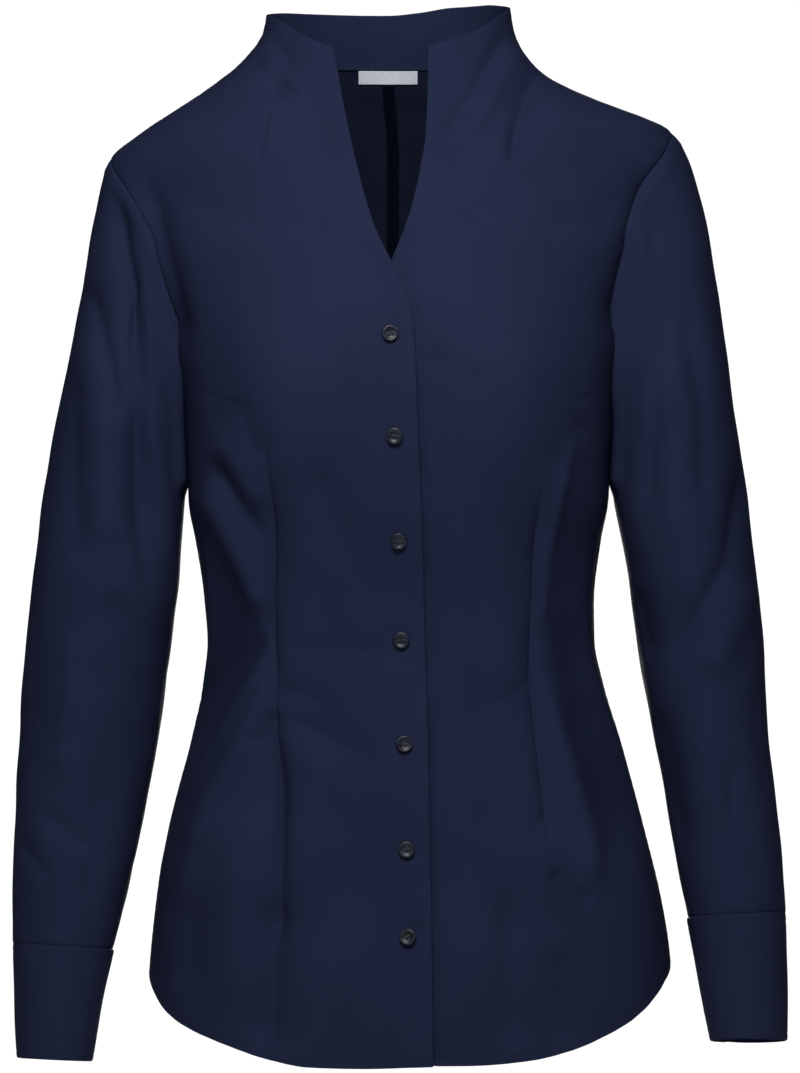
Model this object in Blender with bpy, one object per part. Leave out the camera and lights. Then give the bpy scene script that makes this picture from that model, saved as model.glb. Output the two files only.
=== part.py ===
"""Fitted long-sleeved blouse with a tall funnel collar, open at the neck in a narrow V.

The blouse keeps the hollow form of a garment that is worn. Each cut piece is its own closed wall:
two fronts with the collar grown on, two backs, collar back and its facing, sleeves, cuffs, sleeve
plackets, centre-back seam strip, neck label and buttons. Two sewn pieces stand SEAM_GAP apart.

Frame: the origin is level with the base of the neck, over the middle of the waist; +Z is up, the
front faces -Y, and +X is the wearer's left. Lengths in the tables are in millimetres.
"""

import math
from collections import namedtuple

import bmesh
import bpy
import numpy as np

MM = 0.001

# ---- cloth and seams ---------------------------------------------------------------------------
WALL = 1.2  # one layer of shirting
SEAM_GAP = 0.3  # between two sewn pieces
LAP_STEP = WALL + 0.8  # how far the under front lies inside the upper one
LAP_RELEASE = 26.0  # width over which the under front comes back out beside the lap
LAP_TOP = -100.0  # above this the two fronts' edges have parted
INSIDE_CLEAR = WALL + 0.7  # from a panel's outer face to what is laid against its inside
HEM_TURN = 6.0  # height of the turned hem
HEM_EXTRA = 0.8  # extra thickness of the turned hem, inside

# ---- levels ------------------------------------------------------------------------------------
HIP_ROW = -590.0  # lowest level row; below it the rows follow the hem
NECK_ROW = -28.0  # highest level row; above it the rows follow the collar's top edge
NECK_SEAM = -2.5  # seam between the backs and the collar

# ---- body sections -----------------------------------------------------------------------------
# left and right are the side outlines, middle the body's own centre line, front and back the
# depths of the centre front and centre back, square the bluntness (2 is an ellipse).
Section = namedtuple("Section", "height left right middle front back square_front square_back")
BODY = [
    Section(-700, -175, 190, 7, -119, 124, 2.3, 2.2),
    Section(-617, -171, 185, 7, -118, 122, 2.3, 2.2),
    Section(-575, -167, 179, 6, -115, 120, 2.3, 2.2),
    Section(-521, -156, 166, 4, -109, 116, 2.3, 2.2),
    Section(-466, -143, 151, 3, -102, 107, 2.4, 2.2),
    Section(-425, -134.5, 139, 2, -98, 98, 2.5, 2.3),
    Section(-397, -131.5, 133.5, 1, -97, 94, 2.6, 2.3),
    Section(-370, -133.5, 133, 0, -99, 95, 2.6, 2.3),
    Section(-329, -139.7, 137.7, -1, -108, 98, 2.5, 2.3),
    Section(-301, -143.9, 142.5, -2, -115, 101, 2.4, 2.3),
    Section(-245, -146.5, 145, -3, -122, 107, 2.4, 2.4),
    Section(-219, -151, 148, -3, -122, 110, 2.4, 2.4),
    Section(-176, -170, 159, -4, -117, 113, 2.3, 2.3),
    Section(-148, -186, 171, -4, -110, 113, 2.2, 2.2),
    Section(-126, -198, 182, -5, -103, 111, 2.2, 2.2),
    Section(-100, -205, 190, -5, -95, 107, 2.2, 2.2),
    Section(-79, -203, 193, -5, -88.5, 101.5, 2.1, 2.1),
    Section(-65, -196.3, 192.5, -5, -84.5, 97.5, 2.05, 2.0),
    Section(-54.7, -184.0, 188.5, -5, -81, 94, 2.0, 2.0),
    Section(-48, -174.4, 184.5, -5.5, -79, 91.5, 2.0, 2.0),
    Section(-44.5, -169.4, 179.0, -6, -78, 90, 2.0, 2.0),
    Section(-41.1, -164.0, 170.8, -6, -77, 89, 2.0, 2.0),
    Section(-27.3, -143.0, 135, -7, -72.5, 84, 2.0, 2.0),
    Section(-13.6, -123.4, 104.8, -8, -68, 78, 2.0, 2.0),
    Section(-5.4, -112.9, 93.6, -8, -65.8, 75.6, 2.0, 2.0),
    Section(2.8, -104.8, 86.2, -8, -63.8, 73.4, 2.0, 2.0),
    Section(11.0, -98.2, 81.6, -8, -62, 71.4, 2.0, 2.0),
    Section(19.2, -94.0, 78.4, -8, -60.7, 70, 2.0, 2.0),
    Section(31.6, -91.7, 76.2, -8, -59.5, 68.6, 2.0, 2.0),
    Section(44, -90.5, 75, -8, -59, 68, 2.0, 2.0),
]

# ---- edges of the two fronts -------------------------------------------------------------------
# upper is the edge of the buttonhole front, under the edge of the button front beneath it. They
# cross at the foot of the V, and part towards the two collar corners.
Edge = namedtuple("Edge", "height upper under")
FRONT_EDGES = [
    Edge(-700, 22.0, -9.0),
    Edge(-591, 20.8, -10.2),
    Edge(-464, 18.5, -12.2),
    Edge(-395, 16.4, -14.2),
    Edge(-329, 14.8, -16.2),
    Edge(-260, 12.0, -17.0),
    Edge(-210, 10.0, -20.5),
    Edge(-186, 8.8, -21.0),
    Edge(-165, 4.0, -15.5),
    Edge(-142, -6.6, -6.0),
    Edge(-121, -16.5, 3.0),
    Edge(-100, -23.2, 9.5),
    Edge(-77, -29.0, 14.2),
    Edge(-58, -33.5, 17.2),
    Edge(-35, -38.2, 18.4),
    Edge(-14, -41.8, 19.0),
    Edge(10, -47.0, 19.4),
]

# ---- hem and collar edge -----------------------------------------------------------------------
# share runs from the front (or back) centre, 0, to the side seam, 1.
Rise = namedtuple("Rise", "share height")
RIGHT_HEM = [
    Rise(0.0, -676.5), Rise(0.12, -678.0), Rise(0.234, -677.5), Rise(0.34, -672.8),
    Rise(0.458, -665.0), Rise(0.612, -655.0), Rise(0.718, -647.0), Rise(0.79, -639.7),
    Rise(0.877, -631.0), Rise(1.0, -619.5),
]  # fmt: skip
LEFT_HEM = [
    Rise(0.0, -676.5), Rise(0.15, -676.0), Rise(0.28, -673.4), Rise(0.39, -667.6),
    Rise(0.524, -657.0), Rise(0.61, -649.2), Rise(0.71, -638.4), Rise(0.79, -629.8),
    Rise(0.90, -620.0), Rise(1.0, -613.0),
]  # fmt: skip
BACK_HEM = [
    Rise(0.0, -690.0), Rise(0.25, -688.0), Rise(0.45, -675.0), Rise(0.62, -658.0),
    Rise(0.78, -642.0), Rise(0.90, -629.0), Rise(1.0, -616.0),
]  # fmt: skip
COLLAR_RIGHT_TOP = [
    Rise(0.0, 3.6), Rise(0.24, 13.5), Rise(0.45, 22.0), Rise(0.70, 28.0), Rise(1.0, 30.5),
]  # fmt: skip
COLLAR_LEFT_TOP = [
    Rise(0.0, 4.2), Rise(0.19, 10.5), Rise(0.41, 18.5), Rise(0.63, 28.0), Rise(0.82, 33.5),
    Rise(1.0, 36.0),
]  # fmt: skip
COLLAR_BACK_TOP = [  # share runs from the wearer's right side, 0, round the back to the left, 1
    Rise(0.0, 30.5), Rise(0.07, 33.2), Rise(0.2, 36.5), Rise(0.35, 37.5), Rise(0.5, 37.8),
    Rise(0.58, 39.5), Rise(0.68, 42.2), Rise(0.8, 42.0), Rise(0.9, 39.5), Rise(1.0, 36.0),
]  # fmt: skip

# ---- armholes ----------------------------------------------------------------------------------
# share runs from the underarm, 0, to the shoulder point, 1; front and back are the depths of the
# armhole's two sides there.
Armhole = namedtuple("Armhole", "share front back")
ARMHOLE = [
    Armhole(0.0, 0, 0), Armhole(0.02, 15, 14), Armhole(0.06, 26, 25), Armhole(0.13, 37, 36),
    Armhole(0.25, 46, 46), Armhole(0.39, 51.5, 53), Armhole(0.52, 55, 57), Armhole(0.64, 58, 58),
    Armhole(0.72, 55, 56), Armhole(0.81, 48, 51), Armhole(0.90, 34, 38), Armhole(0.96, 19, 22),
    Armhole(1.0, 0, 0),
]  # fmt: skip
Shoulder = namedtuple("Shoulder", "underarm point")
RIGHT_SHOULDER = Shoulder(-242.0, -65.0)
LEFT_SHOULDER = Shoulder(-247.0, -48.5)

# ---- sleeves -----------------------------------------------------------------------------------
# Each ring is an oval between a point on the outer line and one on the inner line of the sleeve;
# middle and depth are its centre and half width from front to back, tilt how much its front is
# raised for each unit of depth.
Ring = namedtuple("Ring", "outer_x outer_z inner_x inner_z middle depth tilt")
RIGHT_SLEEVE = [
    Ring(-200.2, -73, -147.0, -244.5, 1, 55, 0),
    Ring(-204.5, -89, -147.0, -248, 1, 55.5, 0),
    Ring(-209.2, -111, -147.0, -252, 1, 55.5, 0),
    Ring(-216.5, -148, -146.5, -260, 0, 55.5, 0),
    Ring(-225.0, -192, -146.0, -271, -1, 55.5, 0),
    Ring(-234.0, -242, -146.0, -286, -1, 55, 0),
    Ring(-243.5, -296, -147.4, -303, -1, 54, 0),
    Ring(-251.0, -348, -151.4, -352, 1, 52, 0.0),
    Ring(-256.5, -400, -157.0, -404, 3, 49.5, 0.01),
    Ring(-260.3, -450, -164.5, -457, 2, 47.5, 0.03),
    Ring(-262.8, -503, -174.5, -511, -4, 45, 0.05),
    Ring(-263.4, -555, -184.8, -563, -13, 41.5, 0.08),
    Ring(-263.3, -603, -195.6, -607, -21, 38, 0.1),
]
LEFT_SLEEVE = [
    Ring(191.4, -56, 146.0, -249.5, 1, 55, 0),
    Ring(199.0, -71, 146.0, -252, 1, 56, 0),
    Ring(206.2, -95, 146.0, -256, 1, 57, 0),
    Ring(214.8, -145, 145.5, -263, 0, 58, 0),
    Ring(221.6, -188, 145.0, -273, -1, 58, 0),
    Ring(228.8, -236, 144.6, -286, -1, 58, 0),
    Ring(237.0, -292, 146.4, -302, -1, 57, 0),
    Ring(243.4, -346, 156.4, -352, 1, 55, 0.0),
    Ring(248.2, -398, 163.4, -402, 3, 52, 0.01),
    Ring(252.4, -448, 171.6, -452, 2, 49, 0.03),
    Ring(256.5, -500, 181.4, -504, -3, 45.5, 0.06),
    Ring(260.4, -548, 190.6, -552, -10, 41.5, 0.1),
    Ring(262.4, -583, 196.4, -586, -16, 38, 0.12),
]
SLEEVE_CLEAR = 1.2  # between the sleeve and the body below the underarm
LOWEST_PRESS = -330.0
CUFF_WALL = 2.0  # two layers with a stiffening between
CUFF_LAP = 30.0  # degrees of the cuff that lie over its other end
CUFF_START = 205.0  # where the under end begins, degrees round the wrist from the outer line
RIGHT_CUFF = [
    Ring(-263.0, -603.4, -195.4, -607.4, -21, 38.6, 0.1),
    Ring(-261.6, -643, -203.6, -646, -26, 36.8, 0.1),
    Ring(-259.8, -679.5, -209.0, -682, -30, 35.4, 0.1),
]
LEFT_CUFF = [
    Ring(262.4, -583.4, 196.2, -586.4, -16, 38.6, 0.12),
    Ring(263.2, -628, 204.0, -630, -21, 36.8, 0.13),
    Ring(263.0, -668.5, 211.0, -668.5, -26, 35.4, 0.14),
]

# ---- folds -------------------------------------------------------------------------------------
# A fold is a soft trough between two points of the front (or back) view; depth below zero makes a
# ridge.
Fold = namedtuple("Fold", "x0 z0 x1 z1 width depth")
FRONT_FOLDS = [
    Fold(-166, -78, -150, -172, 15, 4.5),  # hollow beside the right armhole
    Fold(158, -84, 138, -190, 15, 3.5),  # hollow beside the left armhole
    Fold(-86, -255, -85, -380, 9, 3.0),  # right waist dart, above the waist
    Fold(-85, -380, -86, -520, 9, 3.0),  # and below it
    Fold(90, -275, 85, -390, 9, 3.0),  # left waist dart
    Fold(85, -390, 100, -540, 9, 3.0),
    Fold(-121, -300, -88, -388, 14, -4.5),  # ridge drawn down to the right dart
    Fold(-88, -418, -152, -580, 15, -4.0),  # and the one that runs on below the waist
    Fold(-100, -412, -142, -488, 17, 3.5),  # hollow between that ridge and the side
    Fold(100, -289, 89, -405, 13, -2.5),  # ridge beside the left dart
    Fold(92, -425, 128, -525, 12, -2.5),
    Fold(121, -322, 116, -440, 17, 2.5),
    Fold(-86, -560, -84, -665, 16, 3.5),  # flutes of the skirt
    Fold(69, -560, 66, -660, 16, 2.5),
]
BACK_FOLDS = [
    Fold(-70, -300, -66, -400, 9, 3.0),
    Fold(-66, -400, -74, -520, 9, 3.0),
    Fold(70, -300, 66, -400, 9, 3.0),
    Fold(66, -400, 74, -520, 9, 3.0),
]
Bust = namedtuple("Bust", "x z height width depth")
BUSTS = [Bust(-78, -238, 58, 46, 8.0), Bust(74, -238, 58, 46, 8.0)]
SLEEVE_FOLDS = [  # places are shares of the outer-to-inner width and heights
    Fold(0.22, -95, 0.34, -200, 0.08, 3.0),
    Fold(0.30, -215, 0.46, -330, 0.09, 2.5),
    Fold(0.25, -520, 0.55, -560, 0.10, 2.0),
]

# ---- buttons, label, strips --------------------------------------------------------------------
BUTTON_RADIUS = 5.6
BUTTON_THICK = 2.6
BUTTON_SIDES = 16
BUTTON_INSET = 15.6  # from the upper front's edge to the button's centre
BUTTON_HEIGHTS = [-192.0, -259.5, -329.0, -395.0, -464.0, -533.5, -591.0]
CUFF_BUTTON_SHARES = [0.27, 0.73]  # down the cuff
CUFF_BUTTON_TURN = CUFF_START + 360 + CUFF_LAP / 2
LABEL_WIDTH = 41.0
LABEL_HEIGHT = 8.6
LABEL_TOP = NECK_SEAM - 0.6
LABEL_THICK = 0.6
STRIP_WIDTH = 8.0  # centre-back seam, felled flat inside
PLACKET_WIDTH = 12.0
PLACKET_LENGTH = 95.0

# ---- mesh counts -------------------------------------------------------------------------------
FRONT_COLUMNS = 14
BACK_COLUMNS = 8
HEM_ROWS = 4
SIDE_ROWS = 17
ARMHOLE_ROWS = 11
SHOULDER_ROWS = 3
COLLAR_ROWS = 6
RIGHT_SLEEVE_RINGS = 17
LEFT_SLEEVE_RINGS = 20
CUFF_COLUMNS = 22

Paint = namedtuple("Paint", "red green blue rough")
NAVY = Paint(0.016, 0.021, 0.056, 0.62)
NAVY_INSIDE = Paint(0.012, 0.015, 0.038, 0.7)
HORN = Paint(0.018, 0.020, 0.034, 0.28)
WHITE = Paint(0.72, 0.72, 0.75, 0.6)


# ---- curves and tables -------------------------------------------------------------------------
def smooth(xs, ys, at):
    """A curve through a table's points that never overshoots them (harmonic mean slopes)."""
    xs, ys = np.asarray(xs, float), np.asarray(ys, float)
    step = np.diff(xs)
    chord = np.diff(ys) / step
    before, after = chord[:-1], chord[1:]
    same_way = before * after > 0
    safe_before = np.where(same_way, before, 1.0)
    safe_after = np.where(same_way, after, 1.0)
    w0, w1 = 2 * step[1:] + step[:-1], step[1:] + 2 * step[:-1]
    slope = np.concatenate([chord[:1], chord[1:] * 0, chord[-1:]])
    slope[1:-1] = np.where(same_way, (w0 + w1) / (w0 / safe_before + w1 / safe_after), 0.0)
    at = np.clip(np.asarray(at, float), xs[0], xs[-1])
    k = np.clip(np.searchsorted(xs, at) - 1, 0, len(step) - 1)
    t = (at - xs[k]) / step[k]
    return (
        ys[k] * (1 + 2 * t) * (1 - t) ** 2
        + slope[k] * step[k] * t * (1 - t) ** 2
        + ys[k + 1] * t * t * (3 - 2 * t)
        + slope[k + 1] * step[k] * t * t * (t - 1)
    )


def read(table, column, at):
    """A column of a table at any place, by the table's first column."""
    return smooth([row[0] for row in table], [getattr(row, column) for row in table], at)


def ease(t):
    t = np.clip(t, 0.0, 1.0)
    return t * t * (3 - 2 * t)


def unit(v):
    return v / np.maximum(np.linalg.norm(v, axis=-1, keepdims=True), 1e-12)


# ---- the body's surface ------------------------------------------------------------------------
def trough(folds, x, z):
    """Depth of all folds at a place: each is a bell across its line that fades at its ends."""
    total = np.zeros(np.broadcast(x, z).shape)
    for fold in folds:
        along = np.array([fold.x1 - fold.x0, fold.z1 - fold.z0])
        length = np.hypot(*along)
        t = ((x - fold.x0) * along[0] + (z - fold.z0) * along[1]) / length**2
        across = ((x - fold.x0) * along[1] - (z - fold.z0) * along[0]) / length
        ends = ease((t + 0.15) / 0.35) * ease((1.15 - t) / 0.35)
        total = total + fold.depth * ends * np.exp(-((across / fold.width) ** 2))
    return total


def bare_body(turn, z):
    """The body's smooth form. turn is the angle from centre front towards the wearer's left."""
    s, c = np.sin(turn), np.cos(turn)
    middle = read(BODY, "middle", z)
    half = np.where(s > 0, read(BODY, "right", z) - middle, middle - read(BODY, "left", z))
    front = c > 0
    blunt = np.where(front, read(BODY, "square_front", z), read(BODY, "square_back", z))
    depth = np.where(front, read(BODY, "front", z), read(BODY, "back", z))
    x = middle + np.sign(s) * half * np.abs(s) ** (2 / blunt)
    y = depth * np.abs(c) ** (2 / blunt)
    return np.stack(np.broadcast_arrays(x, y, z), axis=-1)


def body_normal(turn, z):
    """The outward direction of the smooth form."""
    d, e = 0.004, 0.5
    across = bare_body(turn + d, z) - bare_body(turn - d, z)
    up = bare_body(turn, z + e) - bare_body(turn, z - e)
    return unit(np.cross(across, up))


def body(turn, z):
    """The cloth's outer face: the smooth form with its bust fullness, darts and folds."""
    turn, z = np.broadcast_arrays(np.asarray(turn, float), np.asarray(z, float))
    p = bare_body(turn, z)
    in_front = trough(FRONT_FOLDS, p[..., 0], z)
    behind = trough(BACK_FOLDS, p[..., 0], z)
    out = -np.where(p[..., 1] < 0, in_front, behind)
    for bust in BUSTS:
        bell = ((p[..., 0] - bust.x) / bust.width) ** 2 + ((z - bust.z) / bust.height) ** 2
        out = out + np.where(p[..., 1] < 0, bust.depth * np.exp(-bell), 0)
    return p + body_normal(turn, z) * out[..., None]


def turn_at_depth(y, z):
    """How far round from centre front the front is y deep, or the back from centre back."""
    blunt = np.where(y < 0, read(BODY, "square_front", z), read(BODY, "square_back", z))
    depth = np.where(y < 0, read(BODY, "front", z), read(BODY, "back", z))
    return np.arccos(np.clip(np.abs(y / depth), 0, 1) ** (blunt / 2))


def turn_at_x(x, z):
    """The signed angle from centre front at which the front passes x."""
    middle = read(BODY, "middle", z)
    half = np.where(x > middle, read(BODY, "right", z) - middle, middle - read(BODY, "left", z))
    share = np.clip(np.abs(x - middle) / half, 0, 1)
    return np.sign(x - middle) * np.arcsin(share ** (read(BODY, "square_front", z) / 2))


def side_depth(shoulder, column, z):
    """Depth of a panel's side edge: half a seam's gap at seams, the armhole between."""
    share = (z - shoulder.underarm) / (shoulder.point - shoulder.underarm)
    inside = read(ARMHOLE, column, np.clip(share, 0, 1))
    return np.maximum(inside, SEAM_GAP / 2)


# ---- rows and panels ---------------------------------------------------------------------------
def level_rows(shoulder):
    """Heights of the level rows, close together where the armhole turns."""
    low = np.linspace(HIP_ROW, shoulder.underarm, SIDE_ROWS + 1)
    turned = (1 - np.cos(np.linspace(0, math.pi, ARMHOLE_ROWS + 1))) / 2
    mixed = 0.65 * turned + 0.35 * np.linspace(0, 1, ARMHOLE_ROWS + 1)
    arm = shoulder.underarm + (shoulder.point - shoulder.underarm) * mixed
    high = np.linspace(shoulder.point, NECK_ROW, SHOULDER_ROWS + 1)
    return np.concatenate([low, arm[1:], high[1:]])


def panel_heights(shoulder, hem, top, shares):
    """Heights of a panel's points: level rows between a hem curve and a top curve."""
    levels = level_rows(shoulder)
    hem_height = read(hem, "height", shares)
    top_height = read(top, "height", shares) if isinstance(top, list) else np.full(len(shares), top)
    turned = HEM_TURN / (HIP_ROW - hem_height.min())
    above = np.linspace(1.15 * turned, 1, HEM_ROWS + 1)[:-1]
    steps = np.concatenate([[0.0, turned], above])
    hem_rows = hem_height + (HIP_ROW - hem_height) * steps[:, None]
    rise = np.linspace(0, 1, COLLAR_ROWS + 1)[1:, None]
    top_rows = NECK_ROW + (top_height - NECK_ROW) * rise
    middle_rows = np.repeat(levels[:, None], len(shares), axis=1)
    return np.concatenate([hem_rows, middle_rows, top_rows])


def front_grid(side, shoulder, edge, top):
    """Angles and heights of a front's points, from its own edge to the side."""
    shares = np.linspace(0, 1, FRONT_COLUMNS + 1)
    z = panel_heights(shoulder, RIGHT_HEM if side < 0 else LEFT_HEM, top, shares)
    start = turn_at_x(read(FRONT_EDGES, edge, z), z)
    end = side * turn_at_depth(-side_depth(shoulder, "front", z), z)
    return start + (end - start) * shares, z


def back_grid(side, shoulder):
    """Angles and heights of a back's points, from the centre-back seam to the side."""
    shares = np.linspace(0, 1, BACK_COLUMNS + 1)
    z = panel_heights(shoulder, BACK_HEM, NECK_SEAM - SEAM_GAP / 2, shares)
    seam = SEAM_GAP / 2 / (read(BODY, "right", z) - read(BODY, "middle", z))
    start = math.pi - seam
    end = math.pi - turn_at_depth(side_depth(shoulder, "back", z), z)
    return side * (start + (end - start) * shares), z


def hem_thickness(rows, columns, wall):
    """Wall thickness over a panel's grid, with the turned hem at its foot."""
    thick = np.full((rows, columns), wall)
    thick[:2] += HEM_EXTRA
    return thick


# ---- solids ------------------------------------------------------------------------------------
def material(name, paint):
    made = bpy.data.materials.get(name) or bpy.data.materials.new(name)
    made.use_nodes = True
    shader = made.node_tree.nodes["Principled BSDF"]
    shader.inputs["Base Color"].default_value = (paint.red, paint.green, paint.blue, 1)
    shader.inputs["Roughness"].default_value = paint.rough
    shader.inputs["Metallic"].default_value = 0.0
    made.diffuse_color = (paint.red, paint.green, paint.blue, 1)
    return made


def add_object(name, points, faces, paint_name, paint):
    """One named solid, with its faces pointing out and shaded smooth but for its rim."""
    mesh = bpy.data.meshes.new(name)
    mesh.from_pydata([tuple(p) for p in np.asarray(points) * MM], [], faces)
    shape = bmesh.new()
    shape.from_mesh(mesh)
    bmesh.ops.recalc_face_normals(shape, faces=shape.faces)
    shape.to_mesh(mesh)
    shape.free()
    mesh.materials.append(material(paint_name, paint))
    mesh.shade_smooth()
    mesh.set_sharp_from_angle(angle=math.radians(40))
    made = bpy.data.objects.new(name, mesh)
    bpy.context.scene.collection.objects.link(made)
    return made


def wall(name, outer, inner, paint_name, paint):
    """A closed wall between two grids of points, with a rim on its four sides."""
    rows, columns = outer.shape[:2]
    number = np.arange(rows * columns).reshape(rows, columns)
    back = number + rows * columns
    faces = []
    for i in range(rows - 1):
        for j in range(columns - 1):
            faces.append((number[i, j], number[i, j + 1], number[i + 1, j + 1], number[i + 1, j]))
            faces.append((back[i, j], back[i + 1, j], back[i + 1, j + 1], back[i, j + 1]))
    border = np.concatenate([number[0], number[1:, -1], number[-1, -2::-1], number[-2:0:-1, 0]])
    after = np.roll(border, -1)
    shift = rows * columns
    faces += [(a, a + shift, b + shift, b) for a, b in zip(border, after)]
    points = np.concatenate([outer.reshape(-1, 3), inner.reshape(-1, 3)])
    return add_object(name, points, [tuple(int(v) for v in f) for f in faces], paint_name, paint)


def tube(name, outer, inner, paint_name, paint):
    """A closed wall round a hollow: the grids' last column runs on into their first."""
    rings, columns = outer.shape[:2]
    number = np.arange(rings * columns).reshape(rings, columns)
    shift = rings * columns
    faces = []
    for j in range(columns):
        k = (j + 1) % columns
        for i in range(rings - 1):
            quad = (number[i, j], number[i, k], number[i + 1, k], number[i + 1, j])
            faces.append(quad)
            faces.append(tuple(v + shift for v in reversed(quad)))
        faces.append((number[0, k], number[0, j], number[0, j] + shift, number[0, k] + shift))
        faces.append((number[-1, j], number[-1, k], number[-1, k] + shift, number[-1, j] + shift))
    points = np.concatenate([outer.reshape(-1, 3), inner.reshape(-1, 3)])
    return add_object(name, points, [tuple(int(v) for v in f) for f in faces], paint_name, paint)


# ---- fronts, backs and collar ------------------------------------------------------------------
def make_front_right():
    """The upper front, with the buttonholes; its collar part grows on at the neck."""
    turn, z = front_grid(-1, RIGHT_SHOULDER, "upper", COLLAR_RIGHT_TOP)
    outer, out = body(turn, z), body_normal(turn, z)
    thick = hem_thickness(*z.shape, WALL)
    return wall("front_right", outer, outer - out * thick[..., None], "navy_cloth", NAVY)


def make_front_left():
    """The under front: beside the upper front's edge it dips inside, to pass beneath it."""
    turn, z = front_grid(1, LEFT_SHOULDER, "under", COLLAR_LEFT_TOP)
    outer, out = body(turn, z), body_normal(turn, z)
    beyond = outer[..., 0] - read(FRONT_EDGES, "upper", z)
    thick = hem_thickness(*z.shape, WALL)
    crossed = ease((LAP_TOP - z) / 25.0)
    dip = (LAP_STEP + thick - WALL) * ease(1 - (beyond - 4.0) / LAP_RELEASE) * crossed
    outer = outer - out * dip[..., None]
    return wall("front_left", outer, outer - out * thick[..., None], "navy_cloth", NAVY)


def make_back(name, side, shoulder):
    turn, z = back_grid(side, shoulder)
    outer, out = body(turn, z), body_normal(turn, z)
    thick = hem_thickness(*z.shape, WALL)
    return wall(name, outer, outer - out * thick[..., None], "navy_cloth", NAVY)


def collar_grid(columns, low, top_drop, side_gap):
    """Angles and heights round the back of the collar, from the right side to the left."""
    shares = np.linspace(0, 1, columns + 1)
    top = read(COLLAR_BACK_TOP, "height", shares) - top_drop
    z = low + (top - low) * np.linspace(0, 1, COLLAR_ROWS + 1)[:, None]
    gap = math.pi - turn_at_depth(side_gap, z)
    return -gap + (-2 * math.pi + 2 * gap) * shares, z


def make_collar_back():
    turn, z = collar_grid(14, NECK_SEAM + SEAM_GAP / 2, 0.0, SEAM_GAP / 2)
    outer, out = body(turn, z), body_normal(turn, z)
    return wall("collar_back", outer, outer - out * WALL, "navy_cloth", NAVY)


def make_collar_facing():
    """The collar's inner layer, which shows through the open neck."""
    turn, z = collar_grid(14, NECK_SEAM + SEAM_GAP / 2, 0.8, 3.0)
    out = body_normal(turn, z)
    outer = body(turn, z) - out * INSIDE_CLEAR
    return wall("collar_facing", outer, outer - out * 1.0, "navy_cloth", NAVY)


def inside_patch(name, half_width, z, columns, thick, paint_name, paint):
    """A strip centred on the centre back, laid inside the backs and clear of them."""
    width = half_width / (read(BODY, "right", z) - read(BODY, "middle", z))
    turn = math.pi + width[:, None] * np.linspace(-1, 1, columns + 1)
    z = np.repeat(z[:, None], columns + 1, axis=1)
    out = body_normal(turn, z)
    outer = body(turn, z) - out * INSIDE_CLEAR
    return wall(name, outer, outer - out * thick, paint_name, paint)


def make_seam_strip():
    """The centre-back seam, turned and felled flat inside, from the label to the hem."""
    levels = level_rows(RIGHT_SHOULDER)
    lowest = BACK_HEM[0].height + 1.4 * HEM_TURN
    top = LABEL_TOP - LABEL_HEIGHT - 0.6
    z = np.concatenate([np.linspace(lowest, levels[0], HEM_ROWS)[:-1], levels, [top]])
    name, half = "back_seam_strip", STRIP_WIDTH / 2
    return inside_patch(name, half, z, 2, 1.0, "navy_inside", NAVY_INSIDE)


def make_label():
    """A plain woven label that hangs from the neck seam inside."""
    z = np.linspace(LABEL_TOP - LABEL_HEIGHT, LABEL_TOP, 3)
    return inside_patch("neck_label", LABEL_WIDTH / 2, z, 6, LABEL_THICK, "label_white", WHITE)


# ---- sleeves and cuffs -------------------------------------------------------------------------
def ring_value(table, column, at):
    return smooth(np.arange(len(table)), [getattr(row, column) for row in table], at)


def oval(outer_x, outer_z, inner_x, inner_z, middle, depth, tilt, turn):
    """A ring of a sleeve: turn 0 is the outer line, 90 degrees the front, 180 the inner line."""
    c, s = np.cos(turn), np.sin(turn)
    x = (outer_x + inner_x) / 2 + (outer_x - inner_x) / 2 * c
    z = (outer_z + inner_z) / 2 + (outer_z - inner_z) / 2 * c
    y = middle - depth * s
    return np.stack(np.broadcast_arrays(x, y, z + tilt * depth * s), axis=-1)


def press_on_body(points, side):
    """Moves a sleeve's points off the body they lie against, so that the two stand just apart."""
    x, y, z = np.moveaxis(points, -1, 0)
    turn = side * np.where(y < 0, turn_at_depth(y, z), math.pi - turn_at_depth(y, z))
    reach = body(turn, z)[..., 0] * side + SLEEVE_CLEAR
    near = z > LOWEST_PRESS
    points = points.copy()
    points[..., 0] = np.where(near, side * np.maximum(side * x, reach), x)
    return points


def armhole_loop(side, shoulder):
    """Points of the armhole: shoulder point, down the front, underarm, up the back."""
    levels = level_rows(shoulder)
    inside = (levels >= shoulder.underarm - 1e-6) & (levels <= shoulder.point + 1e-6)
    rising = levels[inside]
    front = -np.maximum(side_depth(shoulder, "front", rising), SEAM_GAP / 2)
    back = np.maximum(side_depth(shoulder, "back", rising), SEAM_GAP / 2)
    front_turn = side * turn_at_depth(front, rising)
    back_turn = side * (math.pi - turn_at_depth(back, rising))
    front_turn[[0, -1]] = side * math.pi / 2
    turns = np.concatenate([front_turn[::-1], back_turn[1:-1]])
    heights = np.concatenate([rising[::-1], rising[1:-1]])
    return body(turns, heights), body_normal(turns, heights)


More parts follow.
